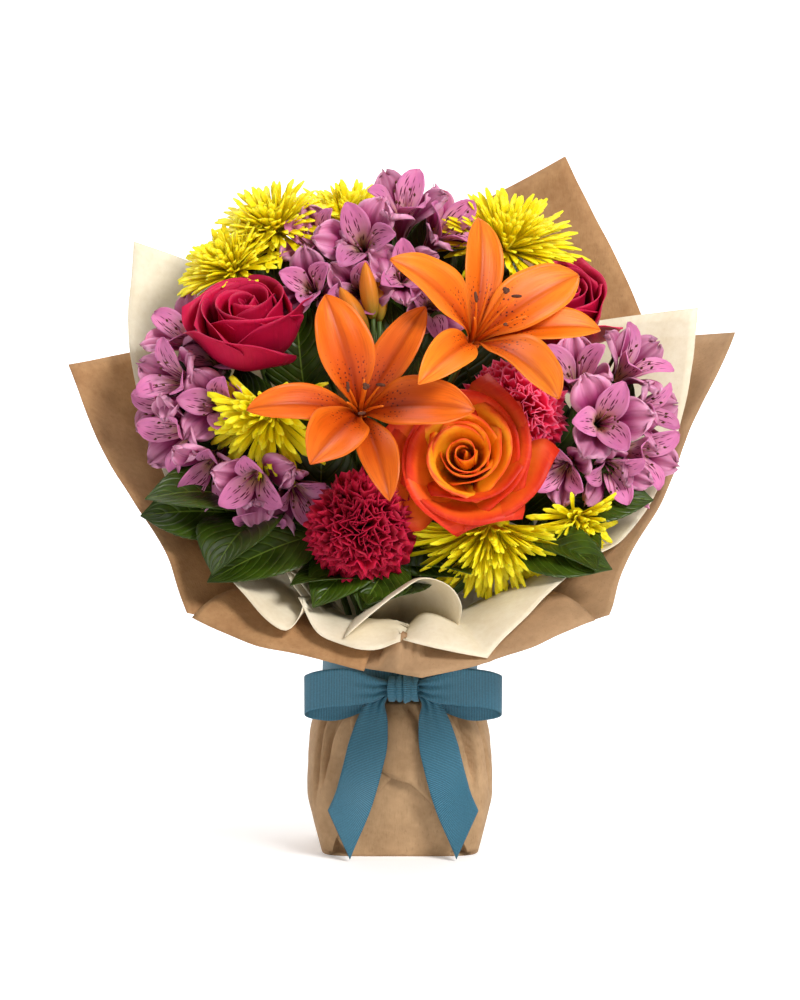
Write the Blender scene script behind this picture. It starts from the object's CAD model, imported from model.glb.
"""A wrapped flower bouquet: its petals, leaves, papers, ribbon and their finishes.

Lengths in the tables are in millimetres and become metres where a mesh is made. +Z is up, the
bouquet faces -Y, and +X is the viewer's right.
"""

from __future__ import annotations

import logging
import random
from collections.abc import Callable
from dataclasses import dataclass, replace
from enum import Enum
from math import atan2, copysign, cos, exp, pi, radians, sin, tau

import bmesh
import bpy
from mathutils import Matrix, Vector, noise
from mathutils.bvhtree import BVHTree

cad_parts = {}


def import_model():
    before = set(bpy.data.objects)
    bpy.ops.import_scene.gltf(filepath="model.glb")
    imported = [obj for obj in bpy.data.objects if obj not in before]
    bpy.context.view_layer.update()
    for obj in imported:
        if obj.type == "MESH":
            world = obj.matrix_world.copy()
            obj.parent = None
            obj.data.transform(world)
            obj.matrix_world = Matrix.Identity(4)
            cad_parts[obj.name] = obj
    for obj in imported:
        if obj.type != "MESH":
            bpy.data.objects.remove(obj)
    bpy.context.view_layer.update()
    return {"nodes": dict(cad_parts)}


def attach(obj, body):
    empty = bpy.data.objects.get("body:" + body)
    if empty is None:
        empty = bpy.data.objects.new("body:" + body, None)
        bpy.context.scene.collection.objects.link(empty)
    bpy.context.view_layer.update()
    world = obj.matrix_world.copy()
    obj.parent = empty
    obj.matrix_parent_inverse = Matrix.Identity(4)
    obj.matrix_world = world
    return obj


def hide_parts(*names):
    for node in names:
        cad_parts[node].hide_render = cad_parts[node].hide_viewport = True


log = logging.getLogger("bouquet")

MM = 0.001
# Vertices closer together than this are one
SEAM = 0.002 * MM
# A petal's middle line has this many pieces
SPINE_STEPS = 40
# Degrees from one petal of a spiral to the next
GOLDEN = 137.508
# The thickness of all the papers, in mm
PAPER = 0.5
# The reach of a lily whose tepals are as wide as Lily.build() gives them, in mm
LILY_REACH = 78
UP = Vector((0, 0, 1))

Point = tuple[float, float, float]
Keys = tuple[tuple[float, ...], ...]
Values = dict[int | str, object]
Node = bpy.types.Node
Tree = bpy.types.NodeTree


# Numbers and placing


def hermite(a: float, b: float, leave: float, arrive: float, t: float) -> float:
    """Reads a smooth curve between two values.

    Args:
        a: the value at t 0.
        b: the value at t 1.
        leave: the slope at t 0.
        arrive: the slope at t 1.
        t: the place to read.

    Returns:
        The value at t.
    """
    first = (2 * t**3 - 3 * t * t + 1) * a + (t**3 - 2 * t * t + t) * leave
    return first + (3 * t * t - 2 * t**3) * b + (t**3 - t * t) * arrive


def smooth(keys: Keys, at: float) -> list[float]:
    """Reads values from a smooth line through keys.

    Args:
        keys: rows of a place and the values there, in rising order of place.
        at: the place to read.

    Returns:
        The values at that place.
    """
    last = len(keys) - 1
    i = 0
    while i < last - 1 and at > keys[i + 1][0]:
        i += 1
    start, end = keys[i], keys[i + 1]
    before, after = keys[max(i - 1, 0)], keys[min(i + 2, last)]
    span = end[0] - start[0]
    t = min(max((at - start[0]) / span, 0.0), 1.0)
    found = []
    for k in range(1, len(start)):
        leave = (end[k] - before[k]) / (end[0] - before[0]) * span
        arrive = (after[k] - start[k]) / (after[0] - start[0]) * span
        found.append(hermite(start[k], end[k], leave, arrive, t))
    return found


def ease(low: float, high: float, at: float) -> float:
    """Rises smoothly from 0 at low to 1 at high."""
    t = min(max((at - low) / (high - low), 0.0), 1.0)
    return t * t * (3 - 2 * t)


def blend(inner: Keys, outer: Keys, share: float) -> Keys:
    """Mixes two rows of keys that stand at the same places.

    Args:
        inner: the keys at share 0.
        outer: the keys at share 1.
        share: how far to go from inner to outer.

    Returns:
        The mixed keys.
    """
    return tuple(
        (a[0], *(x + (y - x) * share for x, y in zip(a[1:], b[1:]))) for a, b in zip(inner, outer)
    )


def frame_of(at: Point, facing: Point, turn: float = 0.0) -> Matrix:
    """Places a bloom.

    Args:
        at: its centre in millimetres.
        facing: the way it looks, which becomes its +Z.
        turn: degrees about that way.

    Returns:
        The placement, with +X to the bloom's right and +Y up it.
    """
    axis = Vector(facing).normalized()
    right = UP.cross(axis)
    right = right.normalized() if right.length > 0.2 else Vector((1, 0, 0))
    right = (right - axis * right.dot(axis)).normalized()
    rows = Matrix((right, axis.cross(right), axis)).transposed().to_4x4()
    return Matrix.Translation(Vector(at) * MM) @ rows @ Matrix.Rotation(radians(turn), 4, "Z")


def distances(points: list[Vector]) -> list[float]:
    """Measures a line through points.

    Args:
        points: the points.

    Returns:
        How far along the line each of them is.
    """
    found = [0.0]
    for a, b in zip(points, points[1:]):
        found.append(found[-1] + max((b - a).length, 1e-6))
    return found


def rounded(points: list[Vector], steps: int) -> list[Vector]:
    """Points on a smooth line through a few.

    Args:
        points: the points that it goes through.
        steps: how many pieces it gets between two of them.

    Returns:
        The finer points, with the first and the last among them.
    """
    places = distances(points)
    keys = tuple((place, *point) for place, point in zip(places, points))
    found = [points[0]]
    for a, b in zip(places, places[1:]):
        found += [Vector(smooth(keys, a + (b - a) * (i + 1) / steps)) for i in range(steps)]
    return found


# Finishes


def linear(code: str) -> tuple[float, float, float, float]:
    """Turns a colour to the linear one that a shader takes.

    Args:
        code: the sRGB colour, as # and six hex digits.

    Returns:
        Its linear red, green and blue, and an alpha of 1.
    """
    parts = [int(code[i : i + 2], 16) / 255 for i in (1, 3, 5)]
    r, g, b = (c / 12.92 if c <= 0.04045 else ((c + 0.055) / 1.055) ** 2.4 for c in parts)
    return (r, g, b, 1.0)


def fill(node: Node, values: Values) -> Node:
    """Sets a node's inputs and properties, and links what feeds it.

    Args:
        node: the node.
        values: what to set, by input name or number or by property name. A node or a socket is
            linked there, a node by its first output, and "stops" fills a ramp.

    Returns:
        The same node.
    """
    for name, value in values.items():
        if isinstance(value, str) and value.startswith("#"):
            value = linear(value)
        elif isinstance(value, Node):
            value = next(socket for socket in value.outputs if socket.enabled)
        if isinstance(value, bpy.types.NodeSocket):
            node.id_data.links.new(value, node.inputs[name])
        elif name == "stops":
            ramp = node.color_ramp.elements
            ramp[0].position, ramp[0].color = value[0][0], linear(value[0][1])
            ramp[1].position, ramp[1].color = value[-1][0], linear(value[-1][1])
            for place, code in value[1:-1]:
                ramp.new(place).color = linear(code)
        elif isinstance(name, int) or name in node.inputs:
            node.inputs[name].default_value = value
        else:
            setattr(node, name, value)
    return node


def add_node(tree: Tree, kind: str, values: Values | None = None) -> Node:
    """Adds a node to a material.

    Args:
        tree: the material's nodes.
        kind: the node's type, without the ShaderNode that all of them start with.
        values: what fill() sets and links.

    Returns:
        The node.
    """
    return fill(tree.nodes.new("ShaderNode" + kind), values or {})


@dataclass(frozen=True)
class Finish:
    """What a surface is made of. Its subclasses paint it."""

    name: str
    roughness: float = 0.5

    def material(self) -> bpy.types.Material:
        """The finish as a material, made once."""
        found = bpy.data.materials.get(self.name)
        if found is None:
            found = bpy.data.materials.new(self.name)
            found.use_nodes = True
            shader = found.node_tree.nodes["Principled BSDF"]
            fill(shader, {"Roughness": self.roughness})
            self.paint(found.node_tree, shader)
        return found

    def paint(self, tree: Tree, shader: Node) -> None:
        """Adds the finish's nodes to its shader.

        Args:
            tree: the material's nodes.
            shader: its Principled BSDF.
        """
        raise NotImplementedError

    @staticmethod
    def places(tree: Tree) -> tuple[Node, Node, Node]:
        """Adds the nodes that tell where on a petal or leaf a point is.

        Args:
            tree: the material's nodes.

        Returns:
            Its UV map, the place along it, and the distance from its middle line, 0 to 0.5.
        """
        uv = add_node(tree, "UVMap")
        along = add_node(tree, "SeparateXYZ", {0: uv})
        middle = add_node(tree, "Math", {"operation": "SUBTRACT", 0: along.outputs[1], 1: 0.5})
        return uv, along, add_node(tree, "Math", {"operation": "ABSOLUTE", 0: middle})


@dataclass(frozen=True)
class Marks:
    """Small marks on a petal: their colour, their spacing along and across in mm, and where."""

    colour: str
    spacing: tuple[float, float]
    size: float
    low: float
    high: float
    reach: float
    share: float = 0.5


@dataclass(frozen=True)
class PetalFinish(Finish):
    """A living petal: soft, a little glowing, with fine veins along it and a paler or redder rim."""

    along: tuple[tuple[float, str], ...] = ()
    rim: str = "#FFFFFF"
    rim_share: float = 0.5
    rim_from: float = 0.55
    vein: str = "#000000"
    vein_share: float = 0.3
    vein_width: float = 1.2
    vein_length: float = 28.0
    size: tuple[float, float] = (60.0, 25.0)
    shade: tuple[float, float] = (0.82, 1.1)
    marks: tuple[Marks, ...] = ()
    glow: float = 0.12
    relief: float = 0.25
    rib: float = 0.0

    def paint(self, tree: Tree, shader: Node) -> None:
        """Colours it from its root to its tip and its rim, then adds veins, marks and relief.

        Args:
            tree: the material's nodes.
            shader: its Principled BSDF.
        """
        uv, along, half = self.places(tree)
        side = add_node(tree, "Math", {"operation": "MULTIPLY", 0: half, 1: 2.0})

        # Cloudy patches about a third of the petal wide move every border a little
        cloud = add_node(tree, "TexNoise", {"Scale": 3.0, "Detail": 3.0, 0: uv})
        drift = add_node(tree, "MapRange", {0: cloud, 1: 0.3, 2: 0.7, 3: -0.06, 4: 0.06})
        place = add_node(tree, "Math", {"operation": "ADD", 0: along, 1: drift})
        colour = add_node(tree, "ValToRGB", {"stops": self.along, 0: place})
        outer = add_node(tree, "Math", {"operation": "MAXIMUM", 0: side, 1: along})
        outer = add_node(tree, "Math", {"operation": "ADD", 0: outer, 1: drift})
        fade = {"interpolation_type": "SMOOTHSTEP", 3: 0.0}
        edge = {**fade, 0: outer, 1: self.rim_from, 2: 1.0, 4: self.rim_share}
        rim = add_node(tree, "MapRange", edge)
        colour = add_node(tree, "Mix", {"data_type": "RGBA", 0: rim, 6: colour, 7: self.rim})

        # Veins run along the petal, so the noise is stretched that way
        scale = (self.size[0] / self.vein_length, self.size[1] / self.vein_width, 1.0)
        stretch = add_node(tree, "Mapping", {"Scale": scale, 0: uv})
        veins = add_node(tree, "TexNoise", {"Scale": 1.0, "Detail": 4.0, 0: stretch})
        line = add_node(tree, "MapRange", {0: veins, 1: 0.5, 2: 0.72, 3: 0.0, 4: self.vein_share})
        colour = add_node(tree, "Mix", {"data_type": "RGBA", 0: line, 6: colour, 7: self.vein})
        if self.rib:
            middle = add_node(tree, "MapRange", {**fade, 0: side, 1: 0.3, 2: 0.0, 4: 0.55})
            colour = add_node(tree, "Mix", {"data_type": "RGBA", 0: middle, 6: colour, 7: self.vein})
        for mark in self.marks:
            colour = self.mark(tree, mark, uv, (along, side, colour))
        tone = add_node(tree, "Attribute", {"attribute_name": "tone"}).outputs[2]
        value = add_node(tree, "MapRange", {0: tone, 3: self.shade[0], 4: self.shade[1]})
        colour = add_node(tree, "HueSaturation", {"Value": value, "Color": colour})

        # A ribbed petal has a groove down its middle
        height = veins
        if self.rib:
            depth = {**fade, 0: side, 1: 0.0, 2: 0.16, 3: -self.rib, 4: 0.0}
            groove = add_node(tree, "MapRange", depth)
            height = add_node(tree, "Math", {"operation": "ADD", 0: height, 1: groove})
        bump = add_node(tree, "Bump", {"Strength": self.relief, "Distance": 0.8 * MM, "Height": height})
        fill(shader, {"Base Color": colour, "Normal": bump, "Specular IOR Level": 0.22})
        fill(shader, {"Subsurface Weight": self.glow, "Subsurface Scale": 2 * MM})
        fill(shader, {"Subsurface Radius": (1.0, 0.5, 0.3)})

    def mark(self, tree: Tree, mark: Marks, uv: Node, petal: tuple[Node, ...]) -> Node:
        """Adds one kind of small marks.

        Args:
            tree: the material's nodes.
            mark: the marks.
            uv: the node that gives the place on the petal.
            petal: the nodes of the place along it, the distance from its middle and its colour.

        Returns:
            The node of its colour with the marks.
        """
        along, side, colour = petal
        scale = (self.size[0] / mark.spacing[0], self.size[1] / mark.spacing[1], 1.0)
        stretch = add_node(tree, "Mapping", {"Scale": scale, 0: uv})
        cells = add_node(tree, "TexVoronoi", {"voronoi_dimensions": "2D", "Scale": 1.0, 0: stretch})
        spot = add_node(tree, "MapRange", {0: cells, 1: mark.size, 2: mark.size * 0.6, 3: 0.0, 4: 1.0})
        pick = add_node(tree, "SeparateXYZ", {0: cells.outputs["Color"]})
        kept = add_node(tree, "Math", {"operation": "LESS_THAN", 0: pick, 1: mark.share})
        start = add_node(tree, "MapRange", {0: along, 1: mark.low, 2: mark.low + 0.06})
        end = add_node(tree, "MapRange", {0: along, 1: mark.high, 2: mark.high - 0.08})
        inside = add_node(tree, "MapRange", {0: side, 1: mark.reach, 2: mark.reach - 0.15})
        share = spot
        for other in (kept, start, end, inside):
            share = add_node(tree, "Math", {"operation": "MULTIPLY", 0: share, 1: other})
        return add_node(tree, "Mix", {"data_type": "RGBA", 0: share, 6: colour, 7: mark.colour})


@dataclass(frozen=True)
class LeafFinish(Finish):
    """A broad waxy leaf: dark green with a fine pale midrib and side veins, and a soft gloss."""

    dark: str = "#1F2C04"
    light: str = "#3F560C"
    vein: str = "#6C8230"
    veins: float = 9.0

    def paint(self, tree: Tree, shader: Node) -> None:
        """Mottles the green, then draws the midrib and the slanting side veins.

        Args:
            tree: the material's nodes.
            shader: its Principled BSDF.
        """
        uv, along, side = self.places(tree)
        cloud = add_node(tree, "TexNoise", {"Scale": 5.0, "Detail": 5.0, 0: uv})
        base = add_node(tree, "ValToRGB", {"stops": ((0.3, self.dark), (0.7, self.light)), 0: cloud})
        tone = add_node(tree, "Attribute", {"attribute_name": "tone"}).outputs[2]
        value = add_node(tree, "MapRange", {0: tone, 3: 0.65, 4: 1.2})
        base = add_node(tree, "HueSaturation", {"Value": value, "Color": base})

        # Side veins leave the midrib forward, and bend a little more near the edge
        bent = add_node(tree, "Math", {"operation": "POWER", 0: side, 1: 1.25})
        slant = add_node(tree, "Math", {"operation": "MULTIPLY", 0: bent, 1: -0.9})
        run = add_node(tree, "Math", {"operation": "ADD", 0: along, 1: slant})
        wobble = add_node(tree, "Math", {"operation": "MULTIPLY", 0: cloud, 1: 0.03})
        run = add_node(tree, "Math", {"operation": "ADD", 0: run, 1: wobble})
        waves = add_node(tree, "Math", {"operation": "MULTIPLY", 0: run, 1: self.veins})
        waves = add_node(tree, "Math", {"operation": "PINGPONG", 0: waves, 1: 0.5})
        fine = add_node(tree, "MapRange", {0: waves, 1: 0.045, 2: 0.0, 3: 0.0, 4: 0.55})
        rib = add_node(tree, "MapRange", {0: side, 1: 0.014, 2: 0.006, 3: 0.0, 4: 0.85})
        lines = add_node(tree, "Math", {"operation": "MAXIMUM", 0: fine, 1: rib})
        colour = add_node(tree, "Mix", {"data_type": "RGBA", 0: lines, 6: base, 7: self.vein})
        swell = add_node(tree, "MapRange", {0: waves, 1: 0.0, 2: 0.22, 3: 0.0, 4: 1.0})
        bump = add_node(tree, "Bump", {"Strength": 0.45, "Distance": 0.9 * MM, "Height": swell})
        fill(shader, {"Base Color": colour, "Normal": bump, "Specular IOR Level": 0.3})
        fill(shader, {"Subsurface Weight": 0.06, "Subsurface Scale": 2 * MM})


@dataclass(frozen=True)
class StemFinish(Finish):
    """A green stem or calyx: long fibres along it, paler where it is young."""

    dark: str = "#2E4418"
    light: str = "#6B8A3A"

    def paint(self, tree: Tree, shader: Node) -> None:
        """Draws fibres that follow the stem.

        Args:
            tree: the material's nodes.
            shader: its Principled BSDF.
        """
        uv = add_node(tree, "UVMap")
        stretch = add_node(tree, "Mapping", {"Scale": (3.0, 14.0, 1.0), 0: uv})
        grain = add_node(tree, "TexNoise", {"Scale": 1.0, "Detail": 4.0, 0: stretch})
        stops = ((0.3, self.dark), (0.75, self.light))
        colour = add_node(tree, "ValToRGB", {"stops": stops, 0: grain})
        bump = add_node(tree, "Bump", {"Strength": 0.3, "Distance": 0.4 * MM, "Height": grain})
        fill(shader, {"Base Color": colour, "Normal": bump})


@dataclass(frozen=True)
class PaperFinish(Finish):
    """Pressed paper pulp: cloudy, with short fibres and soft creases."""

    dark: str = "#9C7B59"
    light: str = "#B08C67"
    fibre: str = "#7A5B3C"
    fibre_share: float = 0.4
    alpha: float = 1.0
    crease: float = 0.5

    def paint(self, tree: Tree, shader: Node) -> None:
        """Mixes clouds, fibres and creases, all in object space.

        Args:
            tree: the material's nodes.
            shader: its Principled BSDF.
        """
        where = add_node(tree, "TexCoord").outputs["Object"]
        # Clouds of pulp about 25 mm across, and finer ones of 4 mm
        broad = add_node(tree, "TexNoise", {"Scale": 40.0, "Detail": 5.0, 0: where})
        small = add_node(tree, "TexNoise", {"Scale": 260.0, "Detail": 3.0, 0: where})
        share = add_node(tree, "Mix", {0: 0.35, 2: broad, 3: small})
        stops = ((0.34, self.dark), (0.66, self.light))
        colour = add_node(tree, "ValToRGB", {"stops": stops, 0: share})
        # Fibres about 6 mm long and under 1 mm wide
        stretch = add_node(tree, "Mapping", {"Scale": (900.0, 900.0, 150.0), 0: where})
        fibres = add_node(tree, "TexNoise", {"Scale": 1.0, "Detail": 2.0, 0: stretch})
        line = add_node(tree, "MapRange", {0: fibres, 1: 0.6, 2: 0.78, 3: 0.0, 4: self.fibre_share})
        colour = add_node(tree, "Mix", {"data_type": "RGBA", 0: line, 6: colour, 7: self.fibre})
        # Creases: the ridges between large facets, about 45 mm apart
        facets = add_node(
            tree, "TexVoronoi", {"Scale": 22.0, "Randomness": 1.0, "feature": "F1", 0: where}
        )
        height = add_node(tree, "Mix", {0: 0.12, 2: facets, 3: fibres})
        bump = add_node(tree, "Bump", {"Strength": self.crease, "Distance": 4 * MM, "Height": height})
        fill(shader, {"Base Color": colour, "Normal": bump, "Alpha": self.alpha})
        fill(shader, {"Specular IOR Level": 0.3})


@dataclass(frozen=True)
class RibbonFinish(Finish):
    """Grosgrain ribbon: woven polyester with fine ribs across it, which catch the light in rows."""

    dark: str = "#133F4E"
    light: str = "#3A7C96"
    rib: float = 1.0

    def paint(self, tree: Tree, shader: Node) -> None:
        """Draws the ribs across the ribbon from its UV map, which is in millimetres.

        Args:
            tree: the material's nodes.
            shader: its Principled BSDF.
        """
        uv = add_node(tree, "UVMap")
        along = add_node(tree, "SeparateXYZ", {0: uv})
        # A real rib is 0.6 mm; it is drawn 1 mm wide so that it shows in the render
        turns = add_node(tree, "Math", {"operation": "MULTIPLY", 0: along, 1: tau / self.rib})
        wave = add_node(tree, "Math", {"operation": "SINE", 0: turns})
        yarn = add_node(tree, "TexNoise", {"Scale": 0.9, "Detail": 4.0, 0: uv})
        level = add_node(tree, "MapRange", {0: wave, 1: -1.0, 2: 1.0, 3: 0.0, 4: 0.65})
        share = add_node(tree, "Math", {"operation": "MULTIPLY_ADD", 0: yarn, 1: 0.5, 2: level})
        stops = ((0.1, self.dark), (0.95, self.light))
        colour = add_node(tree, "ValToRGB", {"stops": stops, 0: share})
        bump = add_node(tree, "Bump", {"Strength": 0.55, "Distance": 0.3 * MM, "Height": wave})
        fill(shader, {"Base Color": colour, "Normal": bump})
        fill(shader, {"Sheen Weight": 0.12, "Sheen Roughness": 0.4})


@dataclass(frozen=True)
class ClearFinish(Finish):
    """Pressed glass or still water: clear, with a slight tint and a faint ripple."""

    tint: str = "#F2FBF8"
    ior: float = 1.5
    ripple: float = 0.05

    def paint(self, tree: Tree, shader: Node) -> None:
        """Makes it clear and ripples its surface.

        Args:
            tree: the material's nodes.
            shader: its Principled BSDF.
        """
        where = add_node(tree, "TexCoord").outputs["Object"]
        waves = add_node(tree, "TexNoise", {"Scale": 60.0, "Detail": 2.0, 0: where})
        stops = ((0.2, "#E2EFEA"), (0.8, self.tint))
        colour = add_node(tree, "ValToRGB", {"stops": stops, 0: waves})
        bump = add_node(tree, "Bump", {"Strength": self.ripple, "Distance": 1 * MM, "Height": waves})
        fill(shader, {"Base Color": colour, "Normal": bump})
        fill(shader, {"Transmission Weight": 1.0, "IOR": self.ior})


LILY_MARKS = (
    Marks("#4A1208", (3.4, 3.0), 0.24, 0.14, 0.46, 0.8, 0.55),
    Marks("#8E2A0C", (2.4, 2.4), 0.2, 0.1, 0.56, 0.92, 0.25),
)
LILY = PetalFinish(
    "lily_petal_orange", 0.42,
    along=((0.0, "#6E1E00"), (0.14, "#B84204"), (0.4, "#E06408"), (0.85, "#EC7810"), (1.0, "#D45A08")),
    rim="#F68C26", rim_share=0.5, rim_from=0.5, vein="#A83402", vein_share=0.45, shade=(0.74, 1.12),
    vein_width=1.6, size=(78.0, 33.0), marks=LILY_MARKS, rib=0.8, glow=0.15,
)
LILY_DEEP = replace(
    LILY, name="lily_petal_deep_orange",
    along=((0.0, "#5A1800"), (0.14, "#983002"), (0.4, "#BC4804"), (0.85, "#D65E0A"), (1.0, "#B84206")),
    rim="#E8761A", vein="#8C2802",
)
LILY_BUD = PetalFinish(
    "lily_bud_orange", 0.45,
    along=((0.0, "#7A7A22"), (0.3, "#B87A24"), (0.7, "#DB7A20"), (1.0, "#E8922E")), rim="#D06A14",
    rim_share=0.2, vein="#7C5A14", vein_share=0.5, vein_width=2.0, size=(34.0, 34.0), glow=0.1,
)
FILAMENT = PetalFinish(
    "lily_filament_orange", 0.45, along=((0.0, "#A03A02"), (0.5, "#D8600C"), (1.0, "#E8781A")),
    rim="#E8781A", vein="#A03A02", size=(50.0, 6.0),
)
ANTHER = StemFinish("lily_anther_brown", 0.85, dark="#33170C", light="#6E3A1C")
ROSE_ORANGE = PetalFinish(
    "rose_petal_orange", 0.5,
    along=((0.0, "#DC8204"), (0.55, "#F9A812"), (0.88, "#FBA422"), (0.96, "#F67C1A"), (1.0, "#E44A12")),
    rim="#E04412", rim_share=0.6, rim_from=0.94, vein="#F0700E", vein_share=0.3, size=(50.0, 60.0),
    shade=(0.88, 1.1), glow=0.18,
)
ROSE_ORANGE_OUTER = replace(
    ROSE_ORANGE, name="rose_petal_orange_outer",
    along=((0.0, "#E89A18"), (0.45, "#F8981C"), (0.72, "#F4761C"), (0.9, "#E84A18"), (1.0, "#CC280C")),
    rim="#CC280C", rim_share=0.8, rim_from=0.84, vein="#E85410", vein_share=0.4, shade=(0.84, 1.1),
    glow=0.16,
)
ROSE_PINK = PetalFinish(
    "rose_petal_crimson", 0.5,
    along=((0.0, "#76001C"), (0.4, "#9E0430"), (0.8, "#B80A3A"), (1.0, "#AC062E")), rim="#D2245A",
    rim_share=0.45, rim_from=0.84, vein="#6E001C", vein_share=0.3, size=(50.0, 60.0),
    shade=(0.75, 1.15), glow=0.12,
)
CARNATION_CRIMSON = PetalFinish(
    "carnation_petal_crimson", 0.6,
    along=((0.0, "#34000A"), (0.5, "#720018"), (0.88, "#A20426"), (1.0, "#B60A34")), rim="#C81846",
    rim_share=0.4, rim_from=0.94, vein="#5E0218", vein_share=0.35, size=(38.0, 30.0), shade=(0.7, 1.15),
)
CARNATION_PINK = PetalFinish(
    "carnation_petal_pink", 0.6,
    along=((0.0, "#7A0018"), (0.5, "#C00A34"), (0.88, "#DE1E48"), (1.0, "#EA5074")), rim="#F2708E",
    rim_share=0.55, rim_from=0.93, vein="#A40A2E", vein_share=0.3, size=(33.0, 26.0),
    shade=(0.78, 1.12),
)
MUM = PetalFinish(
    "chrysanthemum_floret_yellow", 0.45,
    along=((0.0, "#A89E04"), (0.22, "#DCC404"), (0.7, "#F0D808"), (1.0, "#F8E61E")), rim="#FAEC3C",
    rim_share=0.3, rim_from=0.8, vein="#C8B20A", vein_share=0.22, size=(40.0, 6.0), shade=(0.88, 1.08),
    glow=0.3,
)
ALSTROEMERIA = PetalFinish(
    "alstroemeria_outer_petal", 0.45,
    along=((0.0, "#6E1E26"), (0.25, "#7C1C44"), (0.6, "#9E386E"), (0.95, "#C46494"), (1.0, "#94285A")),
    rim="#EDB4CC", rim_share=0.6, rim_from=0.6, vein="#84204E", vein_share=0.4, vein_width=1.4,
    shade=(0.66, 1.14), size=(44.0, 24.0), rib=0.5,
)
ALSTROEMERIA_INNER = PetalFinish(
    "alstroemeria_inner_petal", 0.45,
    along=((0.0, "#8C3C46"), (0.35, "#DCB486"), (0.58, "#DE9AB4"), (0.85, "#C66C9C"), (1.0, "#92345E")),
    rim="#D480AC", rim_share=0.6, rim_from=0.6, vein="#B05AA0", vein_share=0.3, size=(44.0, 14.0),
    marks=(
        Marks("#5A1030", (12.0, 1.3), 0.3, 0.3, 0.9, 0.95, 0.55),
        Marks("#6E1840", (8.0, 1.2), 0.26, 0.36, 0.84, 0.8, 0.4),
    ),
)
LEAF = LeafFinish("leaf_waxy_green", 0.38)
STEM = StemFinish("stem_green", 0.5)
KRAFT = PaperFinish("kraft_paper_brown", 0.8)
KRAFT_WARM = replace(KRAFT, name="kraft_paper_lit_through", dark="#996F48", light="#B48A5E")
KRAFT_FOOT = replace(KRAFT, name="kraft_paper_foot_brown", dark="#9C7C59", light="#B89670")
CREAM = PaperFinish(
    "cream_paper_waxed", 0.6, dark="#ECDDBE", light="#FAEFD6", fibre="#D8C49A", fibre_share=0.25,
    alpha=0.8, crease=0.25,
)
RIBBON = RibbonFinish("grosgrain_ribbon_teal", 0.55)
GLASS = ClearFinish("pressed_glass_clear", 0.05)
WATER = ClearFinish("still_water_clear", 0.02, tint="#F4FAFA", ior=1.333, ripple=0.02)


# Meshes


def add_object(name: str, data: bpy.types.ID) -> bpy.types.Object:
    """Puts a mesh, a lamp or a camera in the scene."""
    made = bpy.data.objects.new(name, data)
    bpy.context.scene.collection.objects.link(made)
    return made


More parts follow.
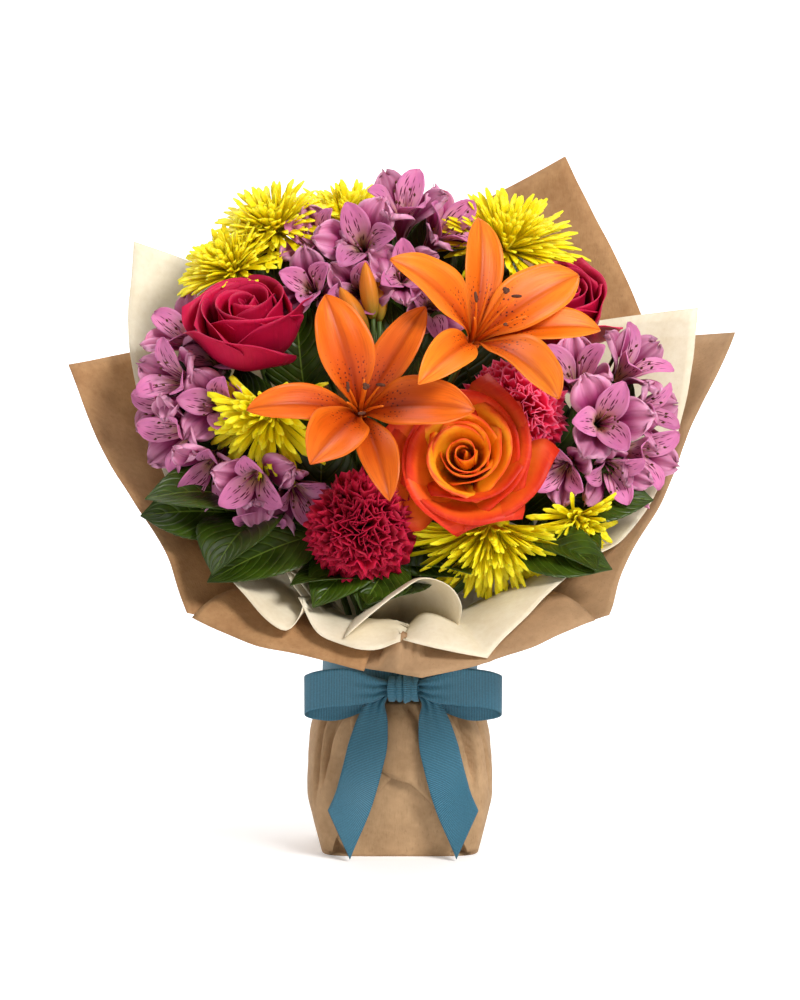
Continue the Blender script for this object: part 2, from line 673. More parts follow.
class Draft:
    """A mesh in the making: grids that formulas bend to petals, leaves, stems and sheets."""

    def __init__(self) -> None:
        """Starts an empty mesh."""
        self.bm = bmesh.new()
        self.uv = self.bm.loops.layers.uv.new("UVMap")
        self.tone = self.bm.verts.layers.float.new("tone")

    def grid(
        self, rows: int, columns: int, point: Callable[[float, float], Vector], tone: float = 0.5,
        slot: int = 0, scale: tuple[float, float] = (1.0, 1.0),
    ) -> list[bmesh.types.BMVert]:
        """Adds a grid and bends it.

        Args:
            rows: faces along it.
            columns: faces across it.
            point: gives the place for u along it, 0 to 1, and v across it, -1 to 1.
            tone: how light it is among its neighbours, 0 to 1.
            slot: the number of its material.
            scale: the size of its UV map.

        Returns:
            Its vertices.
        """
        made = bmesh.ops.create_grid(
            self.bm, x_segments=rows, y_segments=columns, size=1.0, calc_uvs=True
        )
        verts = made["verts"]
        for face in {face for vert in verts for face in vert.link_faces}:
            face.material_index = slot
            face.smooth = True
            for loop in face.loops:
                along, across = loop[self.uv].uv
                loop[self.uv].uv = (along * scale[0], across * scale[1])
        for vert in verts:
            vert.co = point((vert.co.x + 1) / 2, vert.co.y)
            vert[self.tone] = tone
        return verts

    def close(self, verts: list[bmesh.types.BMVert], slot: int = 0) -> None:
        """Joins the seam of a tube, and caps its open ends.

        Args:
            verts: the tube's vertices.
            slot: the number of the caps' material.
        """
        bmesh.ops.remove_doubles(self.bm, verts=verts, dist=SEAM)
        ends = {e for v in verts if v.is_valid for e in v.link_edges if e.is_boundary}
        if ends:
            for face in bmesh.ops.holes_fill(self.bm, edges=list(ends), sides=0)["faces"]:
                face.material_index = slot

    def rope(
        self, points: list[Vector], radii: list[float], sides: int, tone: float = 0.5, slot: int = 0
    ) -> None:
        """Adds a closed round stem along points.

        Args:
            points: its middle line.
            radii: its radius at each, which may be 0 at its ends.
            sides: how many sides it has.
            tone: how light it is among its neighbours.
            slot: the number of its material.
        """
        last = len(points) - 1
        frames = []
        normal = None
        for i in range(last + 1):
            run = (points[min(i + 1, last)] - points[max(i - 1, 0)]).normalized()
            if normal is None:
                normal = run.orthogonal().normalized()
            normal = (normal - run * normal.dot(run)).normalized()
            frames.append((normal.copy(), run.cross(normal)))

        def point(u: float, v: float) -> Vector:
            """The place on the stem's skin."""
            i = round(u * last)
            a, b = frames[i]
            turn = pi * v
            return points[i] + (a * cos(turn) + b * sin(turn)) * max(radii[i], 1e-7)

        self.close(self.grid(last, sides, point, tone, slot), slot)

    def stalk(self, points: list[Vector], steps: int, radius: float, sides: int, slot: int = 0) -> None:
        """Adds an even stem on a smooth line.

        Args:
            points: what the line goes through.
            steps: how many pieces it gets between two of them.
            radius: its radius in mm.
            sides: how many sides it has.
            slot: the number of its material.
        """
        line = rounded(points, steps)
        self.rope(line, [radius * MM] * len(line), sides, slot=slot)

    def bulb(
        self, start: Vector, way: Vector, profile: Keys, sides: int, tone: float = 0.5, slot: int = 0
    ) -> None:
        """Adds a round form that swells and thins.

        Args:
            start: the point that its profile is measured from.
            way: the direction of its axis.
            profile: rows of how far along the axis and how wide, in mm.
            sides: how many sides it has.
            tone: how light it is among its neighbours.
            slot: the number of its material.
        """
        line = [start + way * x * MM for x, _ in profile]
        self.rope(line, [r * MM for _, r in profile], sides, tone, slot)

    def place(self, matrix: Matrix) -> None:
        """Moves all of it."""
        bmesh.ops.transform(self.bm, matrix=matrix, verts=self.bm.verts[:])

    def take(self, own: Draft, matrix: Matrix) -> None:
        """Puts another draft in place, and adds it to this one.

        Args:
            own: the other draft, which is used up.
            matrix: its placement.
        """
        own.place(matrix)
        mesh = bpy.data.meshes.new("own")
        own.bm.to_mesh(mesh)
        own.bm.free()
        self.bm.from_mesh(mesh)
        bpy.data.meshes.remove(mesh)

    def piece(
        self, name: str, finishes: tuple[Finish, ...], nodes: tuple[str, ...], slot: str,
        wall: float = 0.0, offset: float = 0.0,
    ) -> bpy.types.Object:
        """Makes it a piece of the bouquet.

        Args:
            name: the piece's name.
            finishes: its finishes, by material number.
            nodes: the solids that it stands for.
            slot: the record's material slot.
            wall: the thickness that a thin sheet gets, in millimetres.
            offset: where the sheet lies in that thickness, from -1 to 1.

        Returns:
            The piece.
        """
        bmesh.ops.recalc_face_normals(self.bm, faces=self.bm.faces[:])
        mesh = bpy.data.meshes.new(name)
        self.bm.to_mesh(mesh)
        self.bm.free()
        for finish in finishes:
            mesh.materials.append(finish.material())
        made = add_object(name, mesh)
        if wall:
            solid = made.modifiers.new("thickness", "SOLIDIFY")
            solid.thickness = wall * MM
            solid.offset = offset
        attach(made, "root")
        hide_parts(*nodes)
        log.info("%s: %d faces", name, len(mesh.polygons))
        return made


@dataclass(frozen=True)
class Petal:
    """One petal in its own frame: it leaves +Z, bends outward to +X, and v runs along Y.

    Lengths are in millimetres, headings in degrees from the bloom's axis.
    """

    length: float
    half: float
    heading: Keys
    outline: Keys
    root: float = 0.0
    crown: float = 0.0
    cup: float = 0.0
    power: float = 1.7
    groove: float = 0.0
    ruffle: float = 0.0
    waves: float = 2.5
    roll: float = 0.0
    wrap: float = 0.0
    tuck: float = 0.0
    flare: float = 0.0
    twist: float = 0.0
    teeth: float = 0.0
    tooth_count: float = 7.0
    rows: int = 14
    columns: int = 8

    def spine(self, bend: float) -> list[tuple[float, float, float, float]]:
        """The petal's middle line, as rows of how far out, how far up, heading and width share.

        Args:
            bend: degrees that its tip turns further out.

        Returns:
            The rows, at even steps along it.
        """
        out, rise = self.root, 0.0
        found = []
        step = self.length / SPINE_STEPS
        for i in range(SPINE_STEPS + 1):
            u = i / SPINE_STEPS
            heading = radians(smooth(self.heading, u)[0] + bend * u)
            found.append((out, rise, heading, max(smooth(self.outline, u)[0], 0.0)))
            out += step * sin(heading)
            rise += step * cos(heading)
        return found

    def add(
        self, draft: Draft, turn: float, rng: random.Random, bend: float = 0.0, slot: int = 0,
        lift: float = 0.0,
    ) -> None:
        """Adds the petal to a draft.

        Args:
            draft: the draft.
            turn: degrees round the bloom's axis.
            rng: gives its small irregularities.
            bend: degrees that its tip turns further out.
            slot: the number of its material.
            lift: how far along the axis it starts.
        """
        rows = self.spine(bend)
        phase = rng.uniform(0, tau)
        lean = rng.uniform(-1, 1)
        spin = Matrix.Rotation(radians(turn), 4, "Z")

        def read(at: float) -> list[float]:
            """The spine's values at a share of its length."""
            spot = min(max(at, 0.0), 1.0) * SPINE_STEPS
            i = min(int(spot), SPINE_STEPS - 1)
            return [a + (b - a) * (spot - i) for a, b in zip(rows[i], rows[i + 1])]

        def point(u: float, v: float) -> Vector:
            """The place of a point of the petal."""
            side = abs(v)
            at = u * (1 - self.crown * side**2.4)
            if self.teeth:
                at *= 1 - self.teeth * u**5 * abs(sin(pi * self.tooth_count * v / 2 + phase))
            out, rise, heading, _ = read(at)
            share = read(u)[3]
            wide = self.half * share
            wave = sin(tau * self.waves * u + phase + (pi if v > 0 else 0) * 0.7)
            fan = sin(self.waves * pi * v + phase)
            up = self.cup * wide * side**self.power
            up -= self.groove * exp(-((v / 0.16) ** 2)) * sin(pi * min(u * 1.1, 1.0))
            up -= self.roll * wide * max(side - 0.55, 0.0) ** 2 * 4 * u * u
            if self.teeth:
                up += self.ruffle * fan * u**1.6
            else:
                swell = sin(pi * min(u, 0.92)) ** 0.5
                up += self.ruffle * (wave * side * side + 0.35 * fan) * swell
            across = wide * v
            if self.twist:
                angle = radians(self.twist) * u * (1 if lean > 0 else -1)
                across, up = (
                    across * cos(angle) - up * sin(angle), up * cos(angle) + across * sin(angle)
                )
            away = out - cos(heading) * up
            high = rise + sin(heading) * up
            if self.wrap:
                angle = radians(self.wrap) * share * v
                away *= 1 + self.tuck * v * u + self.flare * v * v * u
                spot = Vector((away * cos(angle), away * sin(angle), high))
            else:
                spot = Vector((away, across, high))
            spot.z += lift
            return spin @ (spot * MM)

        draft.grid(self.rows, self.columns, point, rng.random(), slot)


# Blooms


@dataclass(frozen=True)
class Bloom:
    """Where one bloom is: its centre, the way it faces, its turn, and its size in mm."""

    at: Point
    facing: Point
    turn: float
    size: float

    def frame(self) -> Matrix:
        """The bloom's placement."""
        return frame_of(self.at, self.facing, self.turn)


@dataclass(frozen=True)
class Lily:
    """An Asiatic lily: three broad and three narrow tepals, six stamens and a pistil."""

    name: str
    bloom: Bloom
    tepals: tuple[tuple[float, bool, float], ...]
    stamens: float
    seed: int
    finish: PetalFinish = LILY

    def build(self) -> None:
        """Makes its tepals, and what stands in its throat."""
        rng = random.Random(self.seed)
        length = self.bloom.size
        scale = length / LILY_REACH
        broad = Petal(
            length, 17.5 * scale, ((0, 26), (0.2, 46), (0.55, 72), (0.85, 92), (1, 106)),
            ((0, 0.14), (0.12, 0.3), (0.35, 0.82), (0.55, 1.0), (0.78, 0.8), (0.93, 0.36), (1, 0.03)),
            root=2.4, cup=0.26, groove=2.2, ruffle=1.5, waves=1.8, rows=34, columns=14,
        )
        narrow = Petal(
            length, 12.5 * scale, ((0, 30), (0.2, 52), (0.55, 78), (0.85, 102), (1, 124)),
            ((0, 0.14), (0.15, 0.36), (0.4, 0.9), (0.58, 1.0), (0.8, 0.74), (0.94, 0.32), (1, 0.03)),
            root=3.6, cup=0.3, groove=1.6, ruffle=1.0, waves=1.5, rows=34, columns=12,
        )
        draft = Draft()
        for turn, wide, bend in self.tepals:
            kind = broad if wide else narrow
            kind.add(draft, turn, rng, bend=bend, lift=0.0 if wide else -1.4)
        draft.place(self.bloom.frame())
        draft.piece(self.name + "_tepals", (self.finish,), (self.name,), "lily_orange", wall=0.5)
        self.throat(rng)

    def throat(self, rng: random.Random) -> None:
        """Makes the stamens with their anthers, the pistil and the ovary.

        Args:
            rng: gives their small irregularities.
        """
        draft = Draft()
        reach = self.stamens * self.bloom.size
        for i in range(6):
            turn = radians(30 + 60 * i + rng.uniform(-8, 8))
            lean = radians(17 + rng.uniform(-3, 4))
            side = Vector((cos(turn), sin(turn), 0))
            points = []
            for t in (k / 8 for k in range(9)):
                angle = lean * (0.75 + 0.55 * t)
                high = Vector((0, 0, reach * t * cos(angle)))
                points.append((side * (1.6 + reach * t * sin(angle)) + high) * MM)
            draft.rope(points, [(1.5 - 1.0 * k / 8) * MM for k in range(9)], 6)
            if i % 2:
                continue
            tip = points[-1]
            along = (side.cross(UP) * 0.6 + UP * 0.5 + side * 0.4).normalized()
            anther = ((-3.6, 0), (-2.88, 0.8), (-1.08, 1.1), (1.08, 1.1), (2.88, 0.8), (3.6, 0))
            draft.bulb(tip, along, anther, 7, slot=1)
        high = 1.25 * reach
        pistil = [Vector((0.8 * t * t, 1.5 * t * t, high * t)) * MM for t in (i / 8 for i in range(9))]
        draft.rope(pistil, [(1.5 - 0.3 * i / 8) * MM for i in range(9)], 7)
        head = pistil[-1]
        for i in range(3):
            turn = radians(120 * i)
            out = Vector((cos(turn), sin(turn), 0.15))
            draft.bulb(head, out, ((-0.6, 0), (0.4, 1.5), (1.8, 1.5), (2.6, 0)), 6, slot=1)
        ovary = ((-6, 0), (-4.5, 3.4), (0, 5.2), (2.5, 3.8), (4, 0))
        draft.bulb(Vector(), UP, ovary, 10)
        draft.place(self.bloom.frame())
        draft.piece(self.name + "_stamens", (FILAMENT, ANTHER), (self.name,), "lily_orange")


@dataclass(frozen=True)
class Rose:
    """A garden rose: petals in a spiral, wrapped tight in the middle and curling out at the rim."""

    name: str
    bloom: Bloom
    finishes: tuple[PetalFinish, ...]
    slot: str
    openness: float
    flare: float
    count: int
    seed: int

    def build(self) -> None:
        """Makes its petals."""
        rng = random.Random(self.seed)
        radius = self.bloom.size
        wide = self.openness
        draft = Draft()
        inner = ((0, 14), (0.3, 10), (0.6, -8), (0.88, -14), (1, 6))
        outer = (
            (0, 84), (0.25, 58), (0.55, 10 + 38 * wide), (0.85, 8 + 62 * wide), (1, 46 + 84 * wide)
        )
        for i in range(self.count):
            t = i / (self.count - 1)
            petal = Petal(
                radius * (0.92 + 0.34 * t), 10.0, blend(inner, outer, t**0.8),
                ((0, 0.3), (0.2, 0.62), (0.55, 1.0), (0.85, 1.02), (1, 0.84)), root=0.7 + 4.5 * t,
                crown=0.1 + 0.5 * self.flare * t, ruffle=0.3 + 1.4 * t, waves=1.1, roll=0.9 * t,
                wrap=104 - 44 * t, tuck=0.2 - 0.06 * t, flare=0.04 + self.flare * t, rows=16,
                columns=14,
            )
            turn = GOLDEN * i + rng.uniform(-14, 14)
            side = 1 if t > 0.6 and len(self.finishes) > 1 else 0
            petal.add(draft, turn, rng, bend=rng.uniform(-12, 12) * (0.4 + t), slot=side, lift=-2.0 * t)
        draft.place(self.bloom.frame())
        draft.piece(self.name + "_petals", self.finishes, (self.name,), self.slot, wall=0.5)


@dataclass(frozen=True)
class Carnation:
    """A carnation: a round head of many fan petals with frilled, saw-toothed rims."""

    name: str
    bloom: Bloom
    finish: PetalFinish
    count: int
    seed: int

    def build(self) -> None:
        """Makes its petals, from the middle to the rim."""
        rng = random.Random(self.seed)
        radius = self.bloom.size
        draft = Draft()
        for i in range(self.count):
            t = (i + 0.5) / self.count
            tilt = 4 + 96 * t**0.62
            petal = Petal(
                radius * (0.9 + 0.12 * t + rng.uniform(-0.1, 0.06)), radius * rng.uniform(0.3, 0.44),
                ((0, max(tilt - 14, 0)), (0.6, tilt - 3), (1, tilt + 22 * t + 4)),
                ((0, 0.1), (0.45, 0.3), (0.75, 0.74), (1, 1.0)), crown=0.2,
                ruffle=radius * rng.uniform(0.08, 0.17), waves=rng.uniform(2.2, 3.6), teeth=0.14,
                tooth_count=rng.uniform(8, 12), twist=rng.uniform(-30, 30), rows=9, columns=16,
            )
            petal.add(draft, GOLDEN * i + rng.uniform(-10, 10), rng)
        draft.place(self.bloom.frame())
        draft.piece(self.name + "_petals", (self.finish,), (self.name,), self.name, wall=0.4)


@dataclass(frozen=True)
class Chrysanthemum:
    """A spider chrysanthemum: a dome of narrow, channelled florets with spooned tips."""

    name: str
    bloom: Bloom
    count: int
    seed: int
    droop: float = 0.0
    ceiling: float = 2.0

    def build(self) -> None:
        """Makes its florets, short and curled in the middle, long at the rim."""
        rng = random.Random(self.seed)
        radius = self.bloom.size
        draft = Draft()
        place = self.bloom.frame()
        for i in range(self.count):
            t = (i + 0.5) / self.count
            tilt = 3 + 92 * t**0.6
            reach = radius * (0.6 + 0.46 * t**0.8) * rng.uniform(0.82, 1.14)
            around, lean = radians(GOLDEN * i), radians(tilt)
            way = Vector((cos(around) * sin(lean), sin(around) * sin(lean), cos(lean)))
            if (place.to_3x3() @ way).z > self.ceiling:
                continue
            self.floret(
                draft, tilt + rng.uniform(-5, 5), GOLDEN * i + rng.uniform(-7, 7), reach, t, rng
            )
        heart = ((-0.16, 0), (-0.1, 0.16), (0.0, 0.22), (0.18, 0.16), (0.3, 0))
        heart = tuple((z * radius, r * radius) for z, r in heart)
        draft.bulb(Vector(), UP, heart, 12, tone=0.1)
        draft.place(place)
        draft.piece(self.name + "_florets", (MUM,), (self.name,), "chrysanthemum_yellow")

    def floret(
        self, draft: Draft, tilt: float, turn: float, reach: float, t: float, rng: random.Random
    ) -> None:
        """Adds one floret: a bent, hollow-topped spoon.

        Args:
            draft: the draft.
            tilt: its degrees from the bloom's axis.
            turn: its degrees round the axis.
            reach: its length in mm.
            t: 0 for a floret in the middle, 1 at the rim.
            rng: gives its small irregularities.
        """
        spin = Matrix.Rotation(radians(turn), 4, "Z")
        arch = rng.uniform(4, 16) * (0.4 + t) - 14 * (1 - t)
        sway = rng.uniform(-0.16, 0.16)
        half = rng.uniform(1.5, 2.0)
        steps = 8
        line = []
        out, rise = 0.06 * reach, 0.0
        for i in range(steps + 1):
            u = i / steps
            angle = radians(tilt - 10 + 10 * u + arch * u * u + self.droop * u * t)
            line.append((out, rise, angle))
            out += reach / steps * sin(angle)
            rise += reach / steps * cos(angle)
        widths = (0.55, 0.62, 0.7, 0.78, 0.86, 0.95, 1.12, 1.22, 0.45)

        def point(u: float, v: float) -> Vector:
            """The place of a point of the floret's skin."""
            i = round(u * steps)
            out, rise, angle = line[i]
            wide = half * widths[i]
            turn = pi * v
            across = wide * cos(turn)
            up = 0.3 * wide * sin(turn) + 0.55 * wide * cos(turn) ** 2
            side = across + sway * reach * u * u
            return spin @ (Vector((out - cos(angle) * up, side, rise + sin(angle) * up)) * MM)

        tone = min(max(0.35 + 0.5 * t + rng.uniform(-0.3, 0.3), 0), 1)
        draft.close(draft.grid(steps, 6, point, tone))


@dataclass(frozen=True)
class Alstroemeria:
    """A spray of Peruvian lilies: funnels of three broad and three streaked tepals on one stem."""

    name: str
    fork: Point
    blooms: tuple[Bloom, ...]
    buds: tuple[tuple[Point, Point, float], ...]
    seed: int

    def build(self) -> None:
        """Makes the blooms, their stamens, and the stem with its stalks and buds."""
        rng = random.Random(self.seed)
        petals, inside, green = Draft(), Draft(), Draft()
        fork = Vector(self.fork) * MM
        green.stalk(stem_line(self.name), 6, 2.2, 8)
        for bloom in self.blooms:
            self.bloom(petals, inside, green, bloom, fork, rng)
        for low, high, radius in self.buds:
            base = Vector(low) * MM
            self.bud(inside, base, Vector(high) * MM, radius)
            green.stalk([fork, fork.lerp(base, 0.5), base], 3, 1.2, 6)
        petals.piece(
            self.name + "_tepals", (ALSTROEMERIA, ALSTROEMERIA_INNER), (self.name,),
            "alstroemeria_pink", wall=0.45,
        )
        inside.piece(self.name + "_stamens", (ALSTROEMERIA, ANTHER), (self.name,), "alstroemeria_pink")
        green.piece(self.name + "_stalks", (STEM,), (self.name,), "green_stem")

    def bloom(
        self, petals: Draft, inside: Draft, green: Draft, bloom: Bloom, fork: Vector, rng: random.Random
    ) -> None:
        """Adds one bloom of the spray.

        Args:
            petals: takes its tepals.
            inside: takes its stamens.
            green: takes its ovary and stalk.
            bloom: where it is.
            fork: where its stalk starts.
            rng: gives its small irregularities.
        """
        length = bloom.size
        back = bloom.frame() @ Matrix.Translation((0, 0, -0.42 * length * MM))
        broad = Petal(
            length, 0.26 * length, ((0, 10), (0.3, 20), (0.6, 40), (0.85, 66), (1, 94)),
            ((0, 0.16), (0.3, 0.34), (0.6, 0.86), (0.78, 1.0), (0.93, 0.72), (1, 0.22)), root=2.2,
            crown=0.06, cup=0.16, groove=0.9, ruffle=2.4, waves=2.8, teeth=0.05, tooth_count=9, rows=18,
            columns=14,
        )
        narrow = Petal(
            length * 1.02, 0.175 * length, ((0, 4), (0.35, 14), (0.65, 34), (0.9, 58), (1, 80)),
            ((0, 0.18), (0.3, 0.42), (0.62, 0.96), (0.78, 1.0), (0.93, 0.6), (1, 0.1)), root=1.6,
            cup=0.34, groove=0.6, ruffle=1.0, waves=1.8, rows=16, columns=10,
        )
        own = Draft()
        for i in range(6):
            kind = broad if i % 2 == 0 else narrow
            kind.add(
                own, 60 * i + 90 + rng.uniform(-6, 6), rng, bend=rng.uniform(-12, 10),
                slot=0 if i % 2 == 0 else 1,
            )
        petals.take(own, back)
        own = Draft()
        for i in range(6):
            turn = radians(rng.uniform(0, 360))
            side = Vector((cos(turn), sin(turn), 0))
            lean = rng.uniform(0.1, 0.26)
            high = length * rng.uniform(0.68, 0.86)
            points = []
            for k in range(7):
                out = 1 + lean * high * (k / 6) ** 1.6
                points.append((side * out + Vector((0, 0, high * k / 6))) * MM)
            own.rope(points, [(0.6 - 0.03 * k) * MM for k in range(7)], 5)
            own.bulb(points[-1], UP, ((-1.6, 0.3), (0, 0.9), (1.8, 0)), 5, slot=1)
        inside.take(own, back)
        start, end = back @ Vector((0, 0, -8 * MM)), back @ Vector((0, 0, 2.4 * MM))
        ovary = [start.lerp(end, x) for x in (0, 0.25, 0.6, 0.9, 1)]
        green.rope(ovary, [r * MM for r in (1.4, 2.6, 4.0, 3.8, 0)], 8)
        arrive = start + (start - end) * 1.2
        green.stalk([fork, fork.lerp(arrive, 0.55), arrive.lerp(start, 0.5), start], 3, 1.4, 6)

    @staticmethod
    def bud(draft: Draft, base: Vector, tip: Vector, radius: float) -> None:
        """Adds a closed bud from base to tip."""
        spots = [base.lerp(tip, x) for x in (0, 0.15, 0.4, 0.7, 0.9, 1)]
        draft.rope(spots, [r * radius * MM for r in (0.3, 0.7, 1.0, 0.85, 0.4, 0)], 9)


# Greenery


def stem_line(name: str) -> list[Vector]:
    """Reads a stem's line from the table.

    Args:
        name: the bloom, spray or leafy stem that it carries.

    Returns:
        The points that it goes through, in metres, from its foot up.
    """
    (x, y), *above = STEM_LINES[name]
    return [Vector(point) * MM for point in ((x, y, STEM_FOOT), (x, y, NECK_MIDDLE), *above)]


@dataclass(frozen=True)
class Leaf:
    """One broad leaf: where it leaves its stem, its tip, the way it looks, its width and arch."""

    base: Point
    tip: Point
    up: Point
    width: float
    arch: float
    saw: float = 0.03

    def add(self, draft: Draft, rng: random.Random) -> None:
        """Adds the leaf to a draft.

        Args:
            draft: the draft.
            rng: gives its small irregularities.
        """
        base, tip = Vector(self.base), Vector(self.tip)
        along = (tip - base).normalized()
        up = Vector(self.up)
        up = (up - along * up.dot(along)).normalized()
        turn = Matrix((along, up.cross(along), up)).transposed()
        length, half = (tip - base).length, self.width / 2
        phase = rng.uniform(0, 6)
        outline = (
            (0, 0.05), (0.08, 0.34), (0.25, 0.82), (0.42, 1.0), (0.62, 0.9), (0.82, 0.5), (0.95, 0.14),
            (1, 0.01),
        )

        def point(u: float, v: float) -> Vector:
            """The place of a point of the leaf."""
            wide = half * smooth(outline, u)[0]
            teeth = abs(sin(pi * 15 * u)) * self.saw
            wide *= 1 + teeth * max(abs(v) - 0.8, 0) * 5
            rise = self.arch * sin(pi * u) + 0.2 * wide * abs(v)
            rise += 1.6 * sin(7 * u + phase + 1.3 * v) * abs(v) * sin(pi * u)
            rise -= 0.9 * exp(-((v / 0.07) ** 2)) * (1 - u)
            return (base + turn @ Vector((length * u, wide * v, rise))) * MM

        draft.grid(36, 16, point, rng.random())


@dataclass(frozen=True)
class Greens:
    """A leafy stem, with the leaves that fill the space between the blooms near it."""

    name: str
    fork: Point
    leaves: tuple[Leaf, ...]
    seed: int

    def build(self) -> None:
        """Makes its leaves, stalks and stem."""
        rng = random.Random(self.seed)
        leaves, green = Draft(), Draft()
        fork = Vector(self.fork) * MM
        green.stalk(stem_line(self.name), 6, 2.1, 8)
        for leaf in self.leaves:
            leaf.add(leaves, rng)
            base = Vector(leaf.base) * MM
            inner = base.lerp(Vector(leaf.tip) * MM, 0.06)
            middle = fork.lerp(base, 0.5) - Vector((0, 0, 2 * MM))
            green.stalk([fork, middle, base, inner], 3, 1.4, 6)
        leaves.piece(self.name + "_blades", (LEAF,), (self.name,), "green_leaf", wall=0.5)
        green.piece(self.name + "_stalks", (STEM,), (self.name,), "green_stem")


@dataclass(frozen=True)
class BloomStem:
    """The stem of a single bloom, with the green cup that its petals leave."""

    name: str
    kind: str

    def build(self) -> None:
        """Makes the stem, and its calyx."""
        line = stem_line(self.name)
        draft = Draft()
        draft.stalk(line, 6, 2.2, 9)
        end = line[-1]
        back = (line[-2] - end).normalized()
        shapes = {
            "rose": ((11, 0), (9, 2.6), (5, 5.0), (1.5, 6.6), (0, 6.4), (-1, 0)),
            "carnation": ((20, 0), (18, 4.2), (10, 5.2), (2, 6.0), (0, 5.8), (-2, 0)),
            "mum": ((3.5, 0), (3, 3.0), (1.5, 5.5), (0.4, 6.4), (-0.5, 0)),
            "lily": ((6, 0), (5, 2.8), (2, 3.4), (0, 3.4), (-1, 0)),
        }
        draft.bulb(end, back, shapes[self.kind], 12)
        if self.kind == "rose":
            place = frame_of(tuple(end / MM), tuple(-back), 0)
            sepal = Petal(
                24.0, 4.0, ((0, 60), (0.4, 42), (1, 120)),
                ((0, 0.8), (0.4, 1.0), (0.8, 0.45), (1, 0.03)), root=4.0, cup=0.3, rows=10, columns=4,
            )
            own = Draft()
            rng = random.Random(5)
            for i in range(5):
                sepal.add(own, 72 * i, rng, bend=rng.uniform(-10, 20))
            draft.take(own, place)
        draft.piece(self.name + "_stem_green", (STEM,), (self.name + "_stem",), "green_stem")


@dataclass(frozen=True)
class LilyBuds:
    """The closed buds of the left lily, on short stalks."""

    buds: tuple[tuple[Point, Point, float], ...]

    def build(self) -> None:
        """Makes each bud of three rounded ridges."""
        draft = Draft()
        start = stem_line("lily_left")[2]
        for base, tip, radius in self.buds:
            low, high = Vector(base) * MM, Vector(tip) * MM
            run = (high - low).normalized()
            side = run.orthogonal().normalized()
            other = run.cross(side)
            profile = (
                (0, 0.3), (0.12, 0.7), (0.35, 1.0), (0.62, 0.95), (0.85, 0.55), (0.96, 0.22), (1, 0.02)
            )

            def point(u: float, v: float) -> Vector:
                """The place of a point of the bud."""
                turn = pi * v
                wide = radius * smooth(profile, u)[0] * (1 + 0.1 * cos(3 * turn)) * MM
                return low.lerp(high, u) + (side * cos(turn) + other * sin(turn)) * wide

            draft.close(draft.grid(18, 18, point))
            middle = start.lerp(low, 0.6) + Vector((0, 6, 0)) * MM
            draft.stalk([start, middle, low], 5, 1.5, 7, slot=1)
        draft.piece("lily_left_buds", (LILY_BUD, STEM), ("lily_left_stem",), "green_stem")


# Papers


@dataclass(frozen=True)
class Rim:
    """One point of a sheet's rim, the degrees at the neck that it is gathered to, and its lift."""

    x: float
    y: float
    z: float
    neck: float
    lift: float


@dataclass(frozen=True)
class Neck:
    """Where the papers are gathered under the ribbon."""

    low: float = 106.0
    high: float = 131.0
    radius: float = 42.0
    pitch: float = 1.3
    rise: float = 20.0


